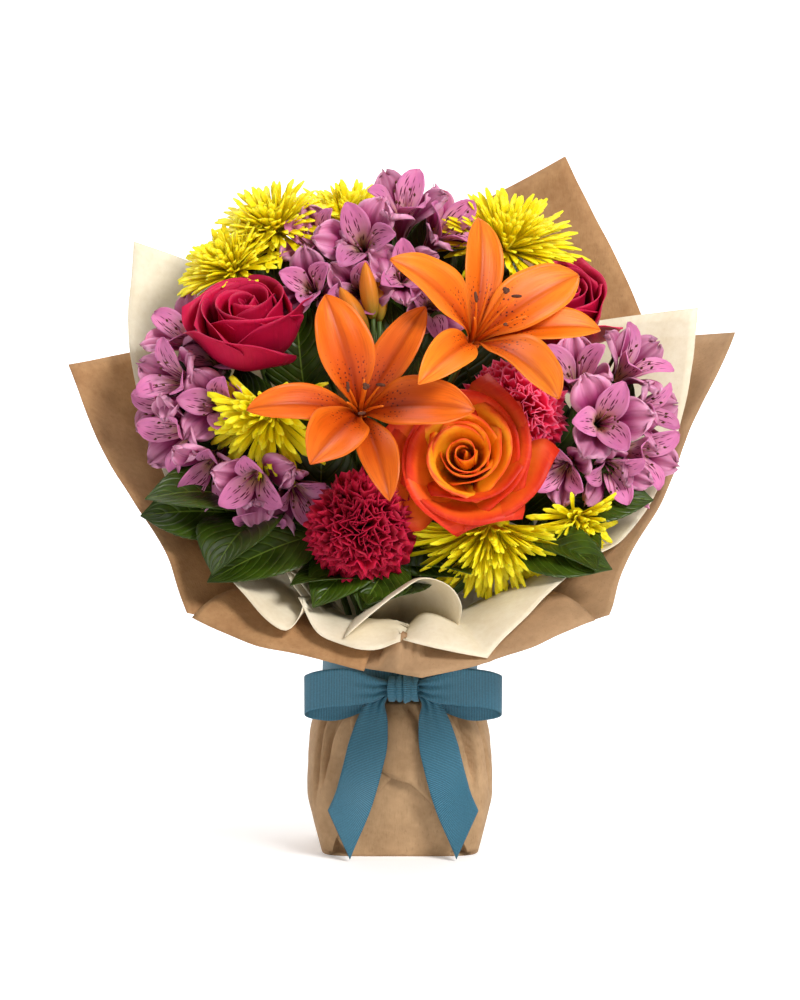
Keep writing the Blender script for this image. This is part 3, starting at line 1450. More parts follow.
@dataclass(frozen=True)
class Wrapping:
    """The paper sheets, from the innermost out, each gathered at the neck and open above."""

    neck: Neck
    step: float = 4.0
    rows: int = 34
    clearance: float = 2.4
    reach: float = 40.0

    def line(self, rim: tuple[Rim, ...], corners: tuple[int, ...]) -> list[tuple[float, ...]]:
        """Rim points at even steps on a smooth line through the rim's own, sharp at its corners.

        Args:
            rim: the rim's points.
            corners: the numbers of those that are sharp.

        Returns:
            Rows of x, y, z, neck angle and lift.
        """
        values = [(p.x, p.y, p.z, p.neck, p.lift) for p in rim]
        points = [Vector(value[:3]) for value in values]
        last = len(values) - 1
        found = [values[0]]
        for i in range(last):
            span = (points[i + 1] - points[i]).length
            before = (points[i] - points[i - 1]).length if 0 < i and i not in corners else 0
            smooth_after = i + 1 < last and i + 1 not in corners
            after = (points[i + 2] - points[i + 1]).length if smooth_after else 0
            steps = max(1, round(span / self.step))
            for step in range(1, steps + 1):
                t = step / steps
                row = []
                for k in range(5):
                    a, b = values[i][k], values[i + 1][k]
                    leave = (b - values[i - 1][k]) * span / (span + before) if before else b - a
                    arrive = (values[i + 2][k] - a) * span / (span + after) if after else b - a
                    row.append(hermite(a, b, leave, arrive, t))
                found.append(tuple(row))
        return found

    def crumple(self, spot: Vector) -> Vector:
        """Moves a point of any sheet by the folds that all the sheets share.

        Args:
            spot: the point in metres.

        Returns:
            Where it goes.
        """
        height = spot.z / MM - self.neck.high
        if height <= 2:
            return spot
        flat = Vector((spot.x, spot.y, 0))
        away = flat.normalized() if flat.length > 1e-6 else Vector((0, -1, 0))
        angle = atan2(spot.y, spot.x)
        near = ease(2, 14, height) * (1 - ease(20, 90, height))
        pleat = 1.3 * sin(17 * angle) + 0.8 * sin(29 * angle + 1.3)
        wide = noise.noise(spot * 14) * 3.2 * ease(10, 80, height)
        fine = noise.noise(spot * 38 + Vector((7, 0, 0))) * 1.0 * ease(6, 40, height)
        return spot + away * (pleat * near + wide + fine) * MM

    def sheet(
        self, name: str, layer: int, corners: tuple[int, ...], rim: tuple[Rim, ...], finish: Finish,
        inner: list[BVHTree],
    ) -> None:
        """Makes one sheet.

        Args:
            name: the sheet's name.
            layer: its place at the neck, from the inside out.
            corners: the rim points that are sharp.
            rim: its rim.
            finish: its paper.
            inner: the sheets inside it, which it is kept off, and which it joins.
        """
        line = self.line(rim, corners)
        last = len(line) - 1
        radius = self.neck.radius + layer * self.neck.pitch
        draft = Draft()

        def point(u: float, v: float) -> Vector:
            """The place of a point of the sheet."""
            x, y, z, neck, lift = line[round(u * last)]
            row = (v + 1) / 2 * self.rows
            angle = radians(neck)
            foot = Vector((radius * cos(angle), radius * sin(angle), self.neck.high + 1))
            if row < 3.5:
                height = self.neck.low + 1 + (self.neck.high - self.neck.low) * row / 3
                return Vector((foot.x, foot.y, height)) * MM
            top = Vector((x, y, z))
            rise = foot + Vector((0, 0, self.neck.rise))
            arrive = top.lerp(rise, 0.4) + Vector((0, 0, lift))
            t = (row - 3) / (self.rows - 3)
            s = 1 - t
            spot = foot * s**3 + rise * 3 * s * s * t + arrive * 3 * s * t * t + top * t**3
            return spot * MM

        draft.grid(last, self.rows, point)
        bm = draft.bm
        bm.normal_update()
        for _ in range(4):
            for vert in bm.verts:
                if vert.co.z < (self.neck.high + 4) * MM:
                    continue
                for tree in inner:
                    spot, normal, _, distance = tree.find_nearest(vert.co)
                    depth = (vert.co - spot).dot(normal)
                    facing = distance < self.clearance * MM or abs(depth) > 0.85 * distance
                    if facing and -self.reach * MM < depth < self.clearance * MM:
                        vert.co += normal * (self.clearance * MM - depth)
        inner.append(BVHTree.FromBMesh(bm))
        for vert in bm.verts:
            vert.co = self.crumple(vert.co)
        slot = "cream_paper" if finish is CREAM else "kraft_paper"
        draft.piece(name + "_sheet", (finish,), (name,), slot, wall=PAPER, offset=-1.0)


@dataclass(frozen=True)
class Foot:
    """The kraft paper round the vase: square underneath, baggy, gathered at the neck, with flaps."""

    stations: Keys
    pleats: Keys

    def point(self, angle: float, height: float, lift: float = 0.0) -> Vector:
        """A point of the foot.

        Args:
            angle: its angle round the foot, from +X towards +Y.
            height: its height in mm.
            lift: how far it stands off the surface, in mm.

        Returns:
            The point in metres.
        """
        wide, deep, square = smooth(self.stations, height)
        c, s = cos(angle), sin(angle)
        x = wide * copysign(abs(c) ** (2 / square), c)
        y = deep * copysign(abs(s) ** (2 / square), s)
        spot = Vector((x, y, height))
        away = Vector((x, y, 0)).normalized()
        drape = ease(20, 60, height) * (1 - ease(96, 106, height))
        bag = 1.3 * noise.noise(spot * 0.028) + 0.7 * noise.noise(spot * 0.07)
        push = lift + drape * bag + self.pleat(angle, height)
        if not lift:
            push += self.dent(angle + pi / 2, height)
        return (spot + away * push) * MM

    def pleat(self, angle: float, height: float) -> float:
        """The gathers under the ribbon, which are steep on one side.

        Args:
            angle: the angle round the foot.
            height: the height in mm.

        Returns:
            How far they move the paper out, in mm.
        """
        depth = 0.0
        for start, slant, low, deep, width in self.pleats:
            off = (angle - start - slant * (104 - height)) / (0.75 * width)
            off *= 3.0 if off * slant < 0 else 1.0
            depth -= 2.2 * deep * exp(-off * off) * ease(low - 8, low + 26, height)
        return depth * (1 - ease(92, 104, height))

    @staticmethod
    def dent(side: float, height: float) -> float:
        """The front's middle crease and the bottom corners, which are folded in.

        Args:
            side: the angle from the middle of the front, to the right.
            height: the height in mm.

        Returns:
            How far they move the paper out, in mm.
        """
        middle = (side + 0.02 - 0.0022 * (50 - height)) / 0.045
        depth = -3.4 * exp(-(middle**2)) * ease(18, 34, height) * (1 - ease(50, 60, height))
        near = ease(0, 0.03, abs(side) - 0.22 - 0.0212 * height)
        far = ease(0, 0.05, 0.58 + 0.0125 * (18 - height) - abs(side))
        return depth - 7.5 * near * far * (1 - ease(14, 18, height)) * ease(0.3, 3, height)

    def build(self) -> None:
        """Makes the wrap with its closed underside, and the two flaps that cross on its front."""
        draft = Draft()
        top = self.stations[-1][0]

        def skin(u: float, v: float) -> Vector:
            """The place of a point of the wrap."""
            return self.point(pi * v, top * u)

        bmesh.ops.remove_doubles(draft.bm, verts=draft.grid(66, 240, skin), dist=SEAM)
        bottom = [e for e in draft.bm.edges if e.is_boundary and e.verts[0].co.z < 1e-5]
        bmesh.ops.holes_fill(draft.bm, edges=bottom, sides=0)
        draft.piece(
            "wrapped_foot", (KRAFT_FOOT,), ("kraft_paper_foot",), "kraft_paper", wall=PAPER, offset=-1.0
        )
        right = (
            (100, -2.15), (80, -1.97), (56, -1.62), (40, -1.49), (25, -1.37), (10, -1.16), (3, -1.02)
        )
        left = ((100, -1.46), (62, -1.55), (52, -1.585), (37, -1.69), (20, -1.9), (3, -2.16))
        self.flap("foot_flap_right", 2.2, right, -0.4)
        self.flap("foot_flap_left", 1.1, left, -2.75)

    def flap(self, name: str, lift: float, edge: Keys, far: float) -> None:
        """Makes one flap.

        Args:
            name: the flap's name.
            lift: how far it lies off the wrap, in mm.
            edge: rows of height and the angle where it ends.
            far: the angle where it leaves the wrap, out of the front's sight.
        """
        draft = Draft()
        keys = tuple(reversed(edge))
        low, high = keys[0][0], keys[-1][0]

        def point(u: float, v: float) -> Vector:
            """The place of a point of the flap."""
            height = low + (high - low) * u
            end = smooth(keys, height)[0]
            share = (v + 1) / 2
            angle = far + (end - far) * share
            return self.point(angle, height, 0.15 + lift * ease(0.0, 0.5, share))

        draft.grid(44, 44, point)
        draft.piece(name, (KRAFT_FOOT,), ("kraft_paper_foot",), "kraft_paper", wall=PAPER, offset=0.0)


# Ribbon


@dataclass(frozen=True)
class Ribbon:
    """The grosgrain ribbon: its band round the neck, its bow and its knot."""

    width: float = 25.0
    cloth: float = 0.7
    band_radius: float = 50.2
    centre: Point = (2.0, -56.2, 110.0)
    loop: Keys = ()
    tail: Keys = ()
    lean: float = 9.0
    cut: float = 12.0
    knot_folds: Keys = ((-0.48, 0.09, 0.2), (-0.02, 0.07, 0.26), (0.12, 0.1, -0.12), (0.55, 0.1, 0.16))

    def build(self) -> None:
        self.band()
        self.bow()
        self.knot()

    def band(self) -> None:
        """The turns of ribbon round the neck."""
        draft = Draft()
        around = tau * self.band_radius

        def point(u: float, v: float) -> Vector:
            """The place of a point of the band."""
            turn = tau * u
            pull = 0.25 * sin(9 * turn) * (1 - v * v) + 0.15 * sin(5 * turn + 2 * v)
            r = self.band_radius + pull
            return Vector((r * cos(turn), r * sin(turn), 118.5 + self.width / 2 * v)) * MM

        verts = draft.grid(120, 8, point, scale=(around, self.width))
        bmesh.ops.remove_doubles(draft.bm, verts=verts, dist=SEAM)
        band = draft.piece("ribbon_round_neck", (RIBBON,), ("ribbon_band",), "ribbon", wall=self.cloth)

    def strip(self, draft: Draft, path: Keys, side: int, lean: float, cut: float) -> float:
        """Adds one run of the ribbon.

        Args:
            draft: the draft.
            path: rows of x, y, z and how far the width is gathered.
            side: 1 to the right, -1 to the left.
            lean: the degrees that a loop's width leans back, or 0 for a hanging tail.
            cut: how far a tail's end slants to each side, in mm.

        Returns:
            The run's length in mm.
        """
        places = distances([Vector(row[:3]) for row in path])
        keys = tuple((place, *row) for place, row in zip(places, path))
        total = places[-1]
        tilt = radians(lean)

        def point(u: float, v: float) -> Vector:
            """The place of a point of the run."""
            at = total * u
            x, y, z, gather = smooth(keys, at)
            ahead, behind = smooth(keys, min(at + 1.5, total)), smooth(keys, max(at - 1.5, 0))
            run = (Vector(ahead[:3]) - Vector(behind[:3])).normalized()
            across = run.cross(Vector((0, 1, 0)))
            if lean:
                across = Vector((0, -sin(tilt), cos(tilt)))
            across.normalize()
            normal = run.cross(across).normalized()
            spread = min(gather, 1.0)
            spot = Vector((x, y, z)) + across * (self.width / 2 * spread * v)
            spot += normal * (1.0 - spread) * 2.6 * cos(3 * pi * v + (0.8 if side > 0 else 0))
            spot -= run * (cut * v * ease(0.55, 1.0, u))
            if not lean:
                spot += normal * 1.2 * sin(5.2 * u + side) * v
            return (Vector((side * spot.x, spot.y, spot.z)) + Vector(self.centre)) * MM

        draft.grid(70, 14, point, scale=(total, self.width))
        return total

    def bow(self) -> None:
        """The two loops and the two slant-cut tails."""
        draft = Draft()
        length = 0.0
        for side in (-1, 1):
            length += self.strip(draft, self.loop, side, self.lean, 0.0)
            length += self.strip(draft, self.tail, side, 0.0, self.cut)
        bow = draft.piece("ribbon_bow_tied", (RIBBON,), ("ribbon_bow",), "ribbon", wall=self.cloth)

    def knot(self) -> None:
        """The short wrap over the middle of the bow, folded once along it."""
        draft = Draft()
        half, high, deep = 9.6, 8.2, 6.0
        around = pi * (high + deep)

        def point(u: float, v: float) -> Vector:
            """The place of a point of the knot."""
            turn = tau * u
            x = half * v
            fold = sum(deep * exp(-(((v - at) / wide) ** 2)) for at, wide, deep in self.knot_folds)
            swell = 1 - 0.05 * v * v - fold
            pinch = 1 - 0.06 * cos(2 * turn) * v
            spot = Vector((x * pinch, deep * swell * cos(turn), high * swell * sin(turn)))
            return (spot + Vector(self.centre)) * MM

        verts = draft.grid(48, 30, point, scale=(around, 2 * half))
        bmesh.ops.remove_doubles(draft.bm, verts=verts, dist=SEAM)
        knot = draft.piece("ribbon_knot_wrap", (RIBBON,), ("ribbon_knot",), "ribbon", wall=self.cloth)


# The bouquet's own measures


STEM_FOOT = 7.7
NECK_MIDDLE = 112.0
# Where each stem stands in the vase, and what it goes through above the neck
STEM_LINES = {
    "lily_left": (
        (-4.8, -24.9), (-13.3, -43.5, 186.2), (-24.1, -66.7, 245.0), (-26.2, -105.2, 284.1),
        (-25.5, -111.3, 287.4),
    ),
    "lily_right": (
        (0.0, -16.6), (4.6, -31.0, 200.5), (18.2, -52.8, 272.4), (40.3, -89.6, 325.3),
        (43.0, -94.3, 329.7),
    ),
    "rose_orange": (
        (-4.8, -8.3), (5.5, -19.8, 179.0), (28.3, -43.4, 230.9), (39.5, -83.1, 260.2),
        (39.1, -89.8, 262.3),
    ),
    "rose_pink_left": (
        (-24.0, -8.3), (-48.2, -9.6, 197.4), (-74.2, -13.4, 267.1), (-90.1, -39.8, 323.1),
        (-90.8, -44.4, 328.3),
    ),
    "rose_pink_right": (
        (14.4, 8.3), (38.5, 18.8, 199.3), (73.2, 23.3, 269.8), (96.6, 1.6, 328.6), (97.6, -2.6, 334.1)
    ),
    "carnation_crimson": (
        (-9.6, -16.6), (-18.7, -27.3, 163.9), (-23.3, -45.0, 204.9), (-22.6, -77.8, 220.4),
        (-22.9, -84.8, 220.1),
    ),
    "carnation_pink": (
        (9.6, 0.0), (27.4, 4.1, 184.2), (53.9, 2.4, 243.0), (72.1, -26.5, 277.9), (73.2, -33.0, 280.4)
    ),
    "mum_top_left": (
        (-4.8, 8.3), (-20.2, 20.7, 220.2), (-48.8, 28.8, 310.0), (-75.8, 8.5, 385.9),
        (-77.5, 5.0, 391.7),
    ),
    "mum_top": (
        (-9.6, 16.6), (-22.1, 33.0, 217.4), (-35.3, 43.8, 306.5), (-36.1, 32.0, 386.0),
        (-35.2, 29.6, 392.5),
    ),
    "mum_left": (
        (-14.4, 8.3), (-32.3, 16.4, 213.7), (-61.1, 17.0, 297.0), (-97.7, -5.7, 362.2),
        (-101.2, -9.2, 367.1),
    ),
    "mum_top_right": (
        (9.6, 16.6), (24.1, 30.6, 213.8), (45.6, 35.0, 299.1), (64.5, 13.6, 371.6), (65.8, 10.1, 377.6)
    ),
    "mum_middle_left": (
        (-19.2, -16.6), (-34.9, -23.4, 190.6), (-52.2, -31.9, 255.3), (-72.8, -63.9, 285.9),
        (-75.7, -70.2, 286.7),
    ),
    "mum_low_right": (
        (9.6, -16.6), (22.5, -31.5, 176.2), (39.3, -52.3, 227.0), (50.1, -83.4, 235.7),
        (50.8, -89.4, 232.2),
    ),
    "mum_right": (
        (14.4, -8.3), (36.4, -14.8, 173.7), (70.4, -26.1, 218.6), (103.1, -49.6, 227.2),
        (107.4, -54.6, 224.7),
    ),
    "alstroemeria_left": (
        (-19.2, 0.0), (-33.9, -5.0, 190.1), (-54.5, -12.8, 253.6), (-91.9, -26.8, 284.9),
        (-98.0, -30.0, 286.0),
    ),
    "alstroemeria_right": (
        (19.2, 0.0), (39.6, -3.4, 175.3), (67.7, -14.9, 223.3), (99.6, -36.3, 258.1),
        (104.0, -40.0, 262.0),
    ),
    "alstroemeria_top": (
        (4.8, 8.3), (1.5, 22.3, 211.0), (-7.8, 31.5, 295.6), (-10.5, 6.8, 360.9), (-10.0, 2.0, 366.0)
    ),
    "alstroemeria_low": (
        (-14.4, -8.3), (-35.5, -12.9, 177.2), (-62.2, -23.1, 229.3), (-74.3, -53.2, 245.4),
        (-74.0, -60.0, 244.0),
    ),
    "leaves_left": (
        (-9.6, 0.0), (-16.5, -17.9, 159.7), (-41.3, -39.0, 192.9), (-79.7, -47.4, 221.1),
        (-84.0, -50.0, 226.0),
    ),
    "leaves_front": (
        (0.0, 0.0), (7.8, -9.5, 141.6), (9.2, -30.7, 162.1), (0.0, -52.8, 179.3), (0.0, -58.0, 184.0)
    ),
    "leaves_right": (
        (4.8, -8.3), (20.2, -18.0, 153.2), (49.6, -31.9, 180.0), (79.2, -47.2, 201.7),
        (84.0, -50.0, 206.0),
    ),
    "leaves_back": (
        (0.0, 16.6), (5.4, 26.2, 193.0), (17.3, 32.6, 260.9), (29.0, 42.5, 323.2), (30.0, 44.0, 330.0)
    ),
}

LILIES = (
    Lily(
        "lily_left", Bloom((-25, -116, 290), (0.1, -0.87, 0.48), 0, 78),
        (
            (108, True, -8), (54, False, -22), (-12, True, -6), (-80, False, -10), (-124, True, -22),
            (186, False, -4),
        ),
        0.36, 11, LILY_DEEP,
    ),
    Lily(
        "lily_right", Bloom((45, -98, 333), (0.38, -0.68, 0.62), 0, 82),
        (
            (147, True, -6), (78, False, -20), (18, True, -12), (-12, False, -16), (-74, True, -6),
            (-145, False, 2),
        ),
        0.5, 12,
    ),
)
ROSES = (
    Rose(
        "rose_orange", Bloom((41, -94, 256), (-0.05, -0.95, 0.3), 20, 41),
        (ROSE_ORANGE, ROSE_ORANGE_OUTER), "rose_orange", 0.8, 0.28, 24, 21,
    ),
    Rose(
        "rose_pink_left", Bloom((-93, -46, 323), (-0.1, -0.5, 0.86), 80, 46), (ROSE_PINK,), "rose_pink",
        0.05, 0.08, 18, 22,
    ),
    Rose(
        "rose_pink_right", Bloom((101, -8, 337), (0.15, -0.66, 0.74), 10, 42), (ROSE_PINK,),
        "rose_pink", 0.05, 0.04, 16, 24,
    ),
)
CARNATIONS = (
    Carnation(
        "carnation_crimson", Bloom((-24, -106, 219), (-0.05, -0.98, -0.05), 0, 38), CARNATION_CRIMSON,
        74, 31,
    ),
    Carnation(
        "carnation_pink", Bloom((72, -68, 288), (0.1, -0.93, 0.3), 15, 36), CARNATION_PINK, 64, 32
    ),
)
MUMS = (
    Chrysanthemum("mum_top_left", Bloom((-80, 0, 400), (-0.25, -0.5, 0.83), 0, 37), 190, 41),
    Chrysanthemum("mum_top", Bloom((-34, 26, 402), (0.12, -0.35, 0.93), 12, 38), 170, 42),
    Chrysanthemum("mum_left", Bloom((-106, -14, 374), (-0.5, -0.5, 0.71), 25, 36), 180, 43),
    Chrysanthemum("mum_top_right", Bloom((68, 4, 388), (0.18, -0.5, 0.85), 5, 46), 230, 44),
    Chrysanthemum(
        "mum_middle_left", Bloom((-80, -80, 288), (-0.4, -0.9, 0.12), 9, 40), 170, 45, 12, 0.62
    ),
    Chrysanthemum(
        "mum_low_right", Bloom((57, -89, 219), (0.14, -0.78, -0.58), 18, 54), 280, 46, 22, 0.0
    ),
    Chrysanthemum("mum_right", Bloom((110, -76, 222), (0.5, -0.8, -0.35), 31, 30), 120, 47, 10, 0.5),
)
ALSTROEMERIAS = (
    Alstroemeria(
        "alstroemeria_left", (-98, -30, 286),
        (
            Bloom((-134, -26, 332), (-0.56, -0.48, 0.7), 20, 48),
            Bloom((-138, -50, 306), (-0.66, -0.7, 0.26), 70, 48),
            Bloom((-136, -52, 274), (-0.66, -0.72, -0.18), 10, 48),
            Bloom((-118, -64, 254), (-0.3, -0.84, -0.46), 45, 46),
            Bloom((-114, -60, 292), (-0.25, -0.95, 0.12), 30, 48),
            Bloom((-146, -34, 290), (-0.84, -0.5, 0.05), 15, 44),
            Bloom((-116, -40, 320), (-0.2, -0.86, 0.46), 50, 44),
        ),
        (((-120, -20, 318), (-128, -22, 342), 5.0),), 51,
    ),
    Alstroemeria(
        "alstroemeria_right", (104, -40, 262),
        (
            Bloom((112, -52, 306), (-0.1, -0.76, 0.64), 0, 48),
            Bloom((144, -38, 312), (0.56, -0.52, 0.62), 50, 48),
            Bloom((126, -80, 282), (0.1, -0.97, 0.14), 30, 54),
            Bloom((148, -54, 262), (0.72, -0.7, -0.08), 5, 48),
            Bloom((104, -78, 254), (-0.3, -0.92, -0.22), 60, 42),
            Bloom((132, -66, 252), (0.3, -0.9, -0.34), 20, 44),
            Bloom((152, -44, 286), (0.84, -0.54, 0.12), 40, 44),
        ),
        (((140, -56, 246), (158, -66, 226), 4.0), ((136, -40, 320), (146, -40, 340), 5.0)), 52,
    ),
    Alstroemeria(
        "alstroemeria_top", (-10, 2, 366),
        (
            Bloom((-24, -30, 392), (-0.05, -0.92, 0.34), 90, 52),
            Bloom((2, -14, 410), (0.05, -0.62, 0.78), 30, 50),
            Bloom((26, -10, 398), (0.52, -0.6, 0.58), 0, 48),
            Bloom((-50, -16, 390), (-0.45, -0.7, 0.55), 20, 46),
            Bloom((2, -36, 372), (0.1, -0.94, 0.3), 60, 44),
            Bloom((-56, -38, 364), (-0.2, -0.92, 0.32), 10, 44),
            Bloom((-26, -40, 362), (-0.1, -0.95, 0.1), 40, 42),
            Bloom((20, -34, 352), (0.2, -0.95, 0.1), 0, 42),
        ),
        (((-2, -4, 400), (2, -8, 430), 5.5),), 53,
    ),
    Alstroemeria(
        "alstroemeria_low", (-74, -60, 244),
        (
            Bloom((-90, -88, 248), (-0.16, -0.95, -0.25), 60, 50),
            Bloom((-66, -84, 240), (0.3, -0.86, -0.4), 20, 42),
            Bloom((-84, -80, 226), (-0.16, -0.8, -0.58), 0, 40),
        ),
        (), 54,
    ),
)
# The leaves that fill gaps between the blooms come last in each
GREENS = (
    Greens(
        "leaves_left", (-84, -50, 226),
        (
            Leaf((-88, -54, 228), (-160, -84, 234), (-0.15, -0.6, 0.78), 52, 8),
            Leaf((-80, -62, 224), (-116, -122, 190), (-0.3, -0.45, 0.84), 56, 8),
            Leaf((-84, -44, 232), (-150, -30, 262), (-0.3, -0.5, 0.8), 44, 6),
            Leaf((-96, -60, 222), (-164, -70, 222), (-0.1, -0.85, 0.5), 46, 6),
            Leaf((-46, -84, 214), (-120, -108, 184), (-0.1, -0.8, 0.6), 46, 6),
            Leaf((-50, -60, 214), (-48, -74, 284), (-0.1, -0.95, 0.2), 50, 6),
            Leaf((-70, -50, 232), (-64, -62, 306), (-0.1, -0.95, 0.2), 50, 6),
            Leaf((-76, -44, 240), (-104, -30, 316), (-0.3, -0.9, 0.3), 50, 6),
            Leaf((-60, -30, 290), (-66, -30, 360), (-0.2, -0.95, 0.2), 50, 6),
            Leaf((-100, -40, 250), (-140, -26, 330), (-0.4, -0.9, 0.1), 46, 6),
            Leaf((-72, -14, 318), (-84, -10, 396), (-0.1, -0.95, 0.2), 56, 5),
        ),
        61,
    ),
    Greens(
        "leaves_front", (0, -58, 184),
        (
            Leaf((4, -66, 184), (-20, -128, 172), (0.05, -0.36, 0.93), 54, 4),
            Leaf((-8, -64, 184), (-68, -126, 184), (-0.15, -0.35, 0.92), 42, 4),
            Leaf((10, -62, 188), (44, -116, 190), (0.15, -0.35, 0.92), 38, 3),
            Leaf((0, -56, 196), (2, -76, 262), (0.0, -0.95, 0.3), 56, 6),
            Leaf((-4, -50, 230), (-26, -58, 306), (-0.1, -0.95, 0.3), 54, 6),
            Leaf((6, -48, 240), (12, -58, 322), (0.1, -0.95, 0.3), 54, 6),
            Leaf((-4, -92, 196), (-24, -122, 168), (0.0, -0.75, 0.66), 42, 4),
            Leaf((-14, -74, 204), (-54, -124, 170), (-0.1, -0.7, 0.7), 46, 4),
            Leaf((2, -66, 204), (38, -100, 186), (0.1, -0.8, 0.6), 44, 4),
            Leaf((26, -50, 196), (36, -70, 250), (0.0, -0.95, 0.2), 50, 5),
            Leaf((-28, -50, 200), (-44, -66, 250), (0.0, -0.95, 0.2), 50, 5),
            Leaf((0, -30, 290), (-6, -30, 356), (0.0, -0.95, 0.2), 54, 5),
            Leaf((30, -30, 290), (44, -30, 366), (0.0, -0.95, 0.2), 54, 5),
        ),
        62,
    ),
    Greens(
        "leaves_right", (84, -50, 206),
        (
            Leaf((80, -56, 206), (122, -116, 192), (0.2, -0.5, 0.84), 52, 8),
            Leaf((88, -42, 214), (156, -52, 248), (0.15, -0.75, 0.64), 42, 7),
            Leaf((78, -50, 214), (72, -66, 278), (0.0, -0.95, 0.3), 50, 6),
            Leaf((84, -40, 224), (98, -40, 304), (0.2, -0.95, 0.2), 50, 6),
            Leaf((68, -84, 204), (132, -108, 192), (0.1, -0.8, 0.6), 42, 5),
            Leaf((100, -60, 232), (160, -70, 232), (0.1, -0.88, 0.45), 40, 5),
            Leaf((110, -36, 250), (146, -30, 316), (0.3, -0.9, 0.1), 44, 5),
            Leaf((60, -30, 280), (78, -26, 350), (0.0, -0.95, 0.2), 50, 5),
        ),
        63,
    ),
    Greens(
        "leaves_back", (30, 44, 330),
        (
            Leaf((26, 40, 336), (36, -6, 396), (0.4, -0.7, 0.6), 40, 6),
            Leaf((34, 48, 336), (82, 62, 384), (0.55, -0.2, 0.8), 46, 6),
            Leaf((24, 50, 336), (-70, 66, 378), (-0.3, -0.2, 0.92), 46, 6),
            Leaf((20, 30, 320), (-30, -8, 372), (-0.1, -0.9, 0.4), 46, 6),
            Leaf((34, 30, 320), (66, -8, 366), (0.1, -0.9, 0.4), 46, 6),
            Leaf((20, 34, 300), (-60, 0, 340), (-0.1, -0.9, 0.4), 50, 6),
            Leaf((30, 30, 290), (40, -20, 340), (0.1, -0.9, 0.4), 50, 6),
            Leaf((20, 40, 330), (-84, 20, 384), (-0.1, -0.9, 0.4), 50, 6),
            Leaf((10, 36, 340), (4, 14, 404), (0.0, -0.9, 0.4), 50, 6),
            Leaf((20, 24, 350), (20, 10, 414), (0.0, -0.9, 0.3), 44, 5),
            Leaf((4, 32, 346), (16, 28, 424), (0.0, -0.95, 0.3), 58, 4),
            Leaf((40, 30, 330), (92, 10, 372), (0.1, -0.9, 0.4), 46, 6),
        ),
        64,
    ),
)
BUDS = LilyBuds(
    (
        ((-21, -62, 336), (-38, -57, 366), 6.2),
        ((-17, -58, 346), (-22, -57, 382), 5.6),
        ((-13, -48, 344), (-13, -44, 380), 5.6),
        ((-27, -50, 342), (-41, -40, 370), 5.0),
    )
)
SHEETS = (
    (
        "cream_paper_right", 1, (6, 7, 9, 15),
        (
            Rim(-34, -140, 154, 256, 24), Rim(-15, -135, 170, 260, 20), Rim(0, -131, 181, 263, 18),
            Rim(14, -127, 189, 266, 16), Rim(30, -124, 184, 269, 14), Rim(38, -124, 171, 271, 12),
            Rim(34, -112, 150, 273, 6), Rim(2, -146, 153, 275, 5), Rim(24, -150, 148, 279, 34),
            Rim(54, -149, 142, 284, 30), Rim(75, -132, 164, 292, 22), Rim(117, -100, 197, 312, 16),
            Rim(142, -65, 208, 328, 12), Rim(178, -15, 260, 348, 6), Rim(189, 10, 310, 360, 2),
            Rim(194, 30, 350, 370, 0), Rim(130, 56, 340, 392, 0), Rim(62, 74, 326, 420, 0),
        ),
        CREAM,
    ),
    (
        "cream_paper_left", 2, (1, 10),
        (
            Rim(-64, 82, 352, 112, 0), Rim(-174, 45, 393, 150, 0), Rim(-177, 22, 335, 168, 2),
            Rim(-162, -12, 272, 184, 6), Rim(-138, -62, 222, 200, 12), Rim(-106, -105, 188, 214, 20),
            Rim(-84, -124, 166, 222, 24), Rim(-70, -131, 157, 226, 26), Rim(-61, -122, 168, 229, 20),
            Rim(-61, -108, 184, 231, 12), Rim(-70, -100, 193, 233, 8), Rim(-61, -118, 173, 235, 12),
            Rim(-51, -134, 156, 239, 20), Rim(-37, -141, 150, 244, 26), Rim(-16, -147, 147, 252, 26),
            Rim(0, -147, 152, 262, 20),
        ),
        CREAM,
    ),
    (
        "kraft_paper_back", 3, (1, 2),
        (
            Rim(122, 34, 256, 376, 0), Rim(163, 62, 341, 388, 0), Rim(111, 98, 449, 412, 0),
            Rim(10, 104, 394, 444, 0), Rim(-90, 96, 338, 480, 0),
        ),
        KRAFT_WARM,
    ),
    (
        "kraft_paper_left", 4, (3, 6, 7, 8),
        (
            Rim(24, 108, 300, 78, 0), Rim(-60, 106, 318, 108, 0), Rim(-140, 76, 324, 138, 0),
            Rim(-218, 25, 313, 166, 0), Rim(-184, -28, 248, 182, 4), Rim(-148, -74, 200, 197, 14),
            Rim(-132, -99, 164, 204, 20), Rim(-112, -80, 156, 206, 10), Rim(-129, -107, 162, 208, 46),
            Rim(-99, -124, 150, 222, 36), Rim(-54, -138, 141, 246, 30), Rim(-22, -148, 134, 282, 31),
        ),
        KRAFT_WARM,
    ),
    (
        "kraft_paper_right", 5, (1, 5, 6, 7, 11),
        (
            Rim(-44, -122, 136, 256, 30), Rim(13, -156, 131, 274, 32), Rim(48, -150, 138, 286, 30),
            Rim(80, -142, 148, 296, 30), Rim(104, -126, 156, 306, 38), Rim(122, -113, 161, 313, 46),
            Rim(104, -88, 153, 316, 10), Rim(129, -100, 163, 319, 18), Rim(149, -70, 204, 331, 12),
            Rim(176, -28, 244, 348, 6), Rim(197, 0, 291, 360, 2), Rim(217, 25, 334, 372, 0),
            Rim(152, 92, 326, 402, 0), Rim(64, 120, 318, 428, 0), Rim(-16, 124, 306, 454, 0),
        ),
        KRAFT,
    ),
)
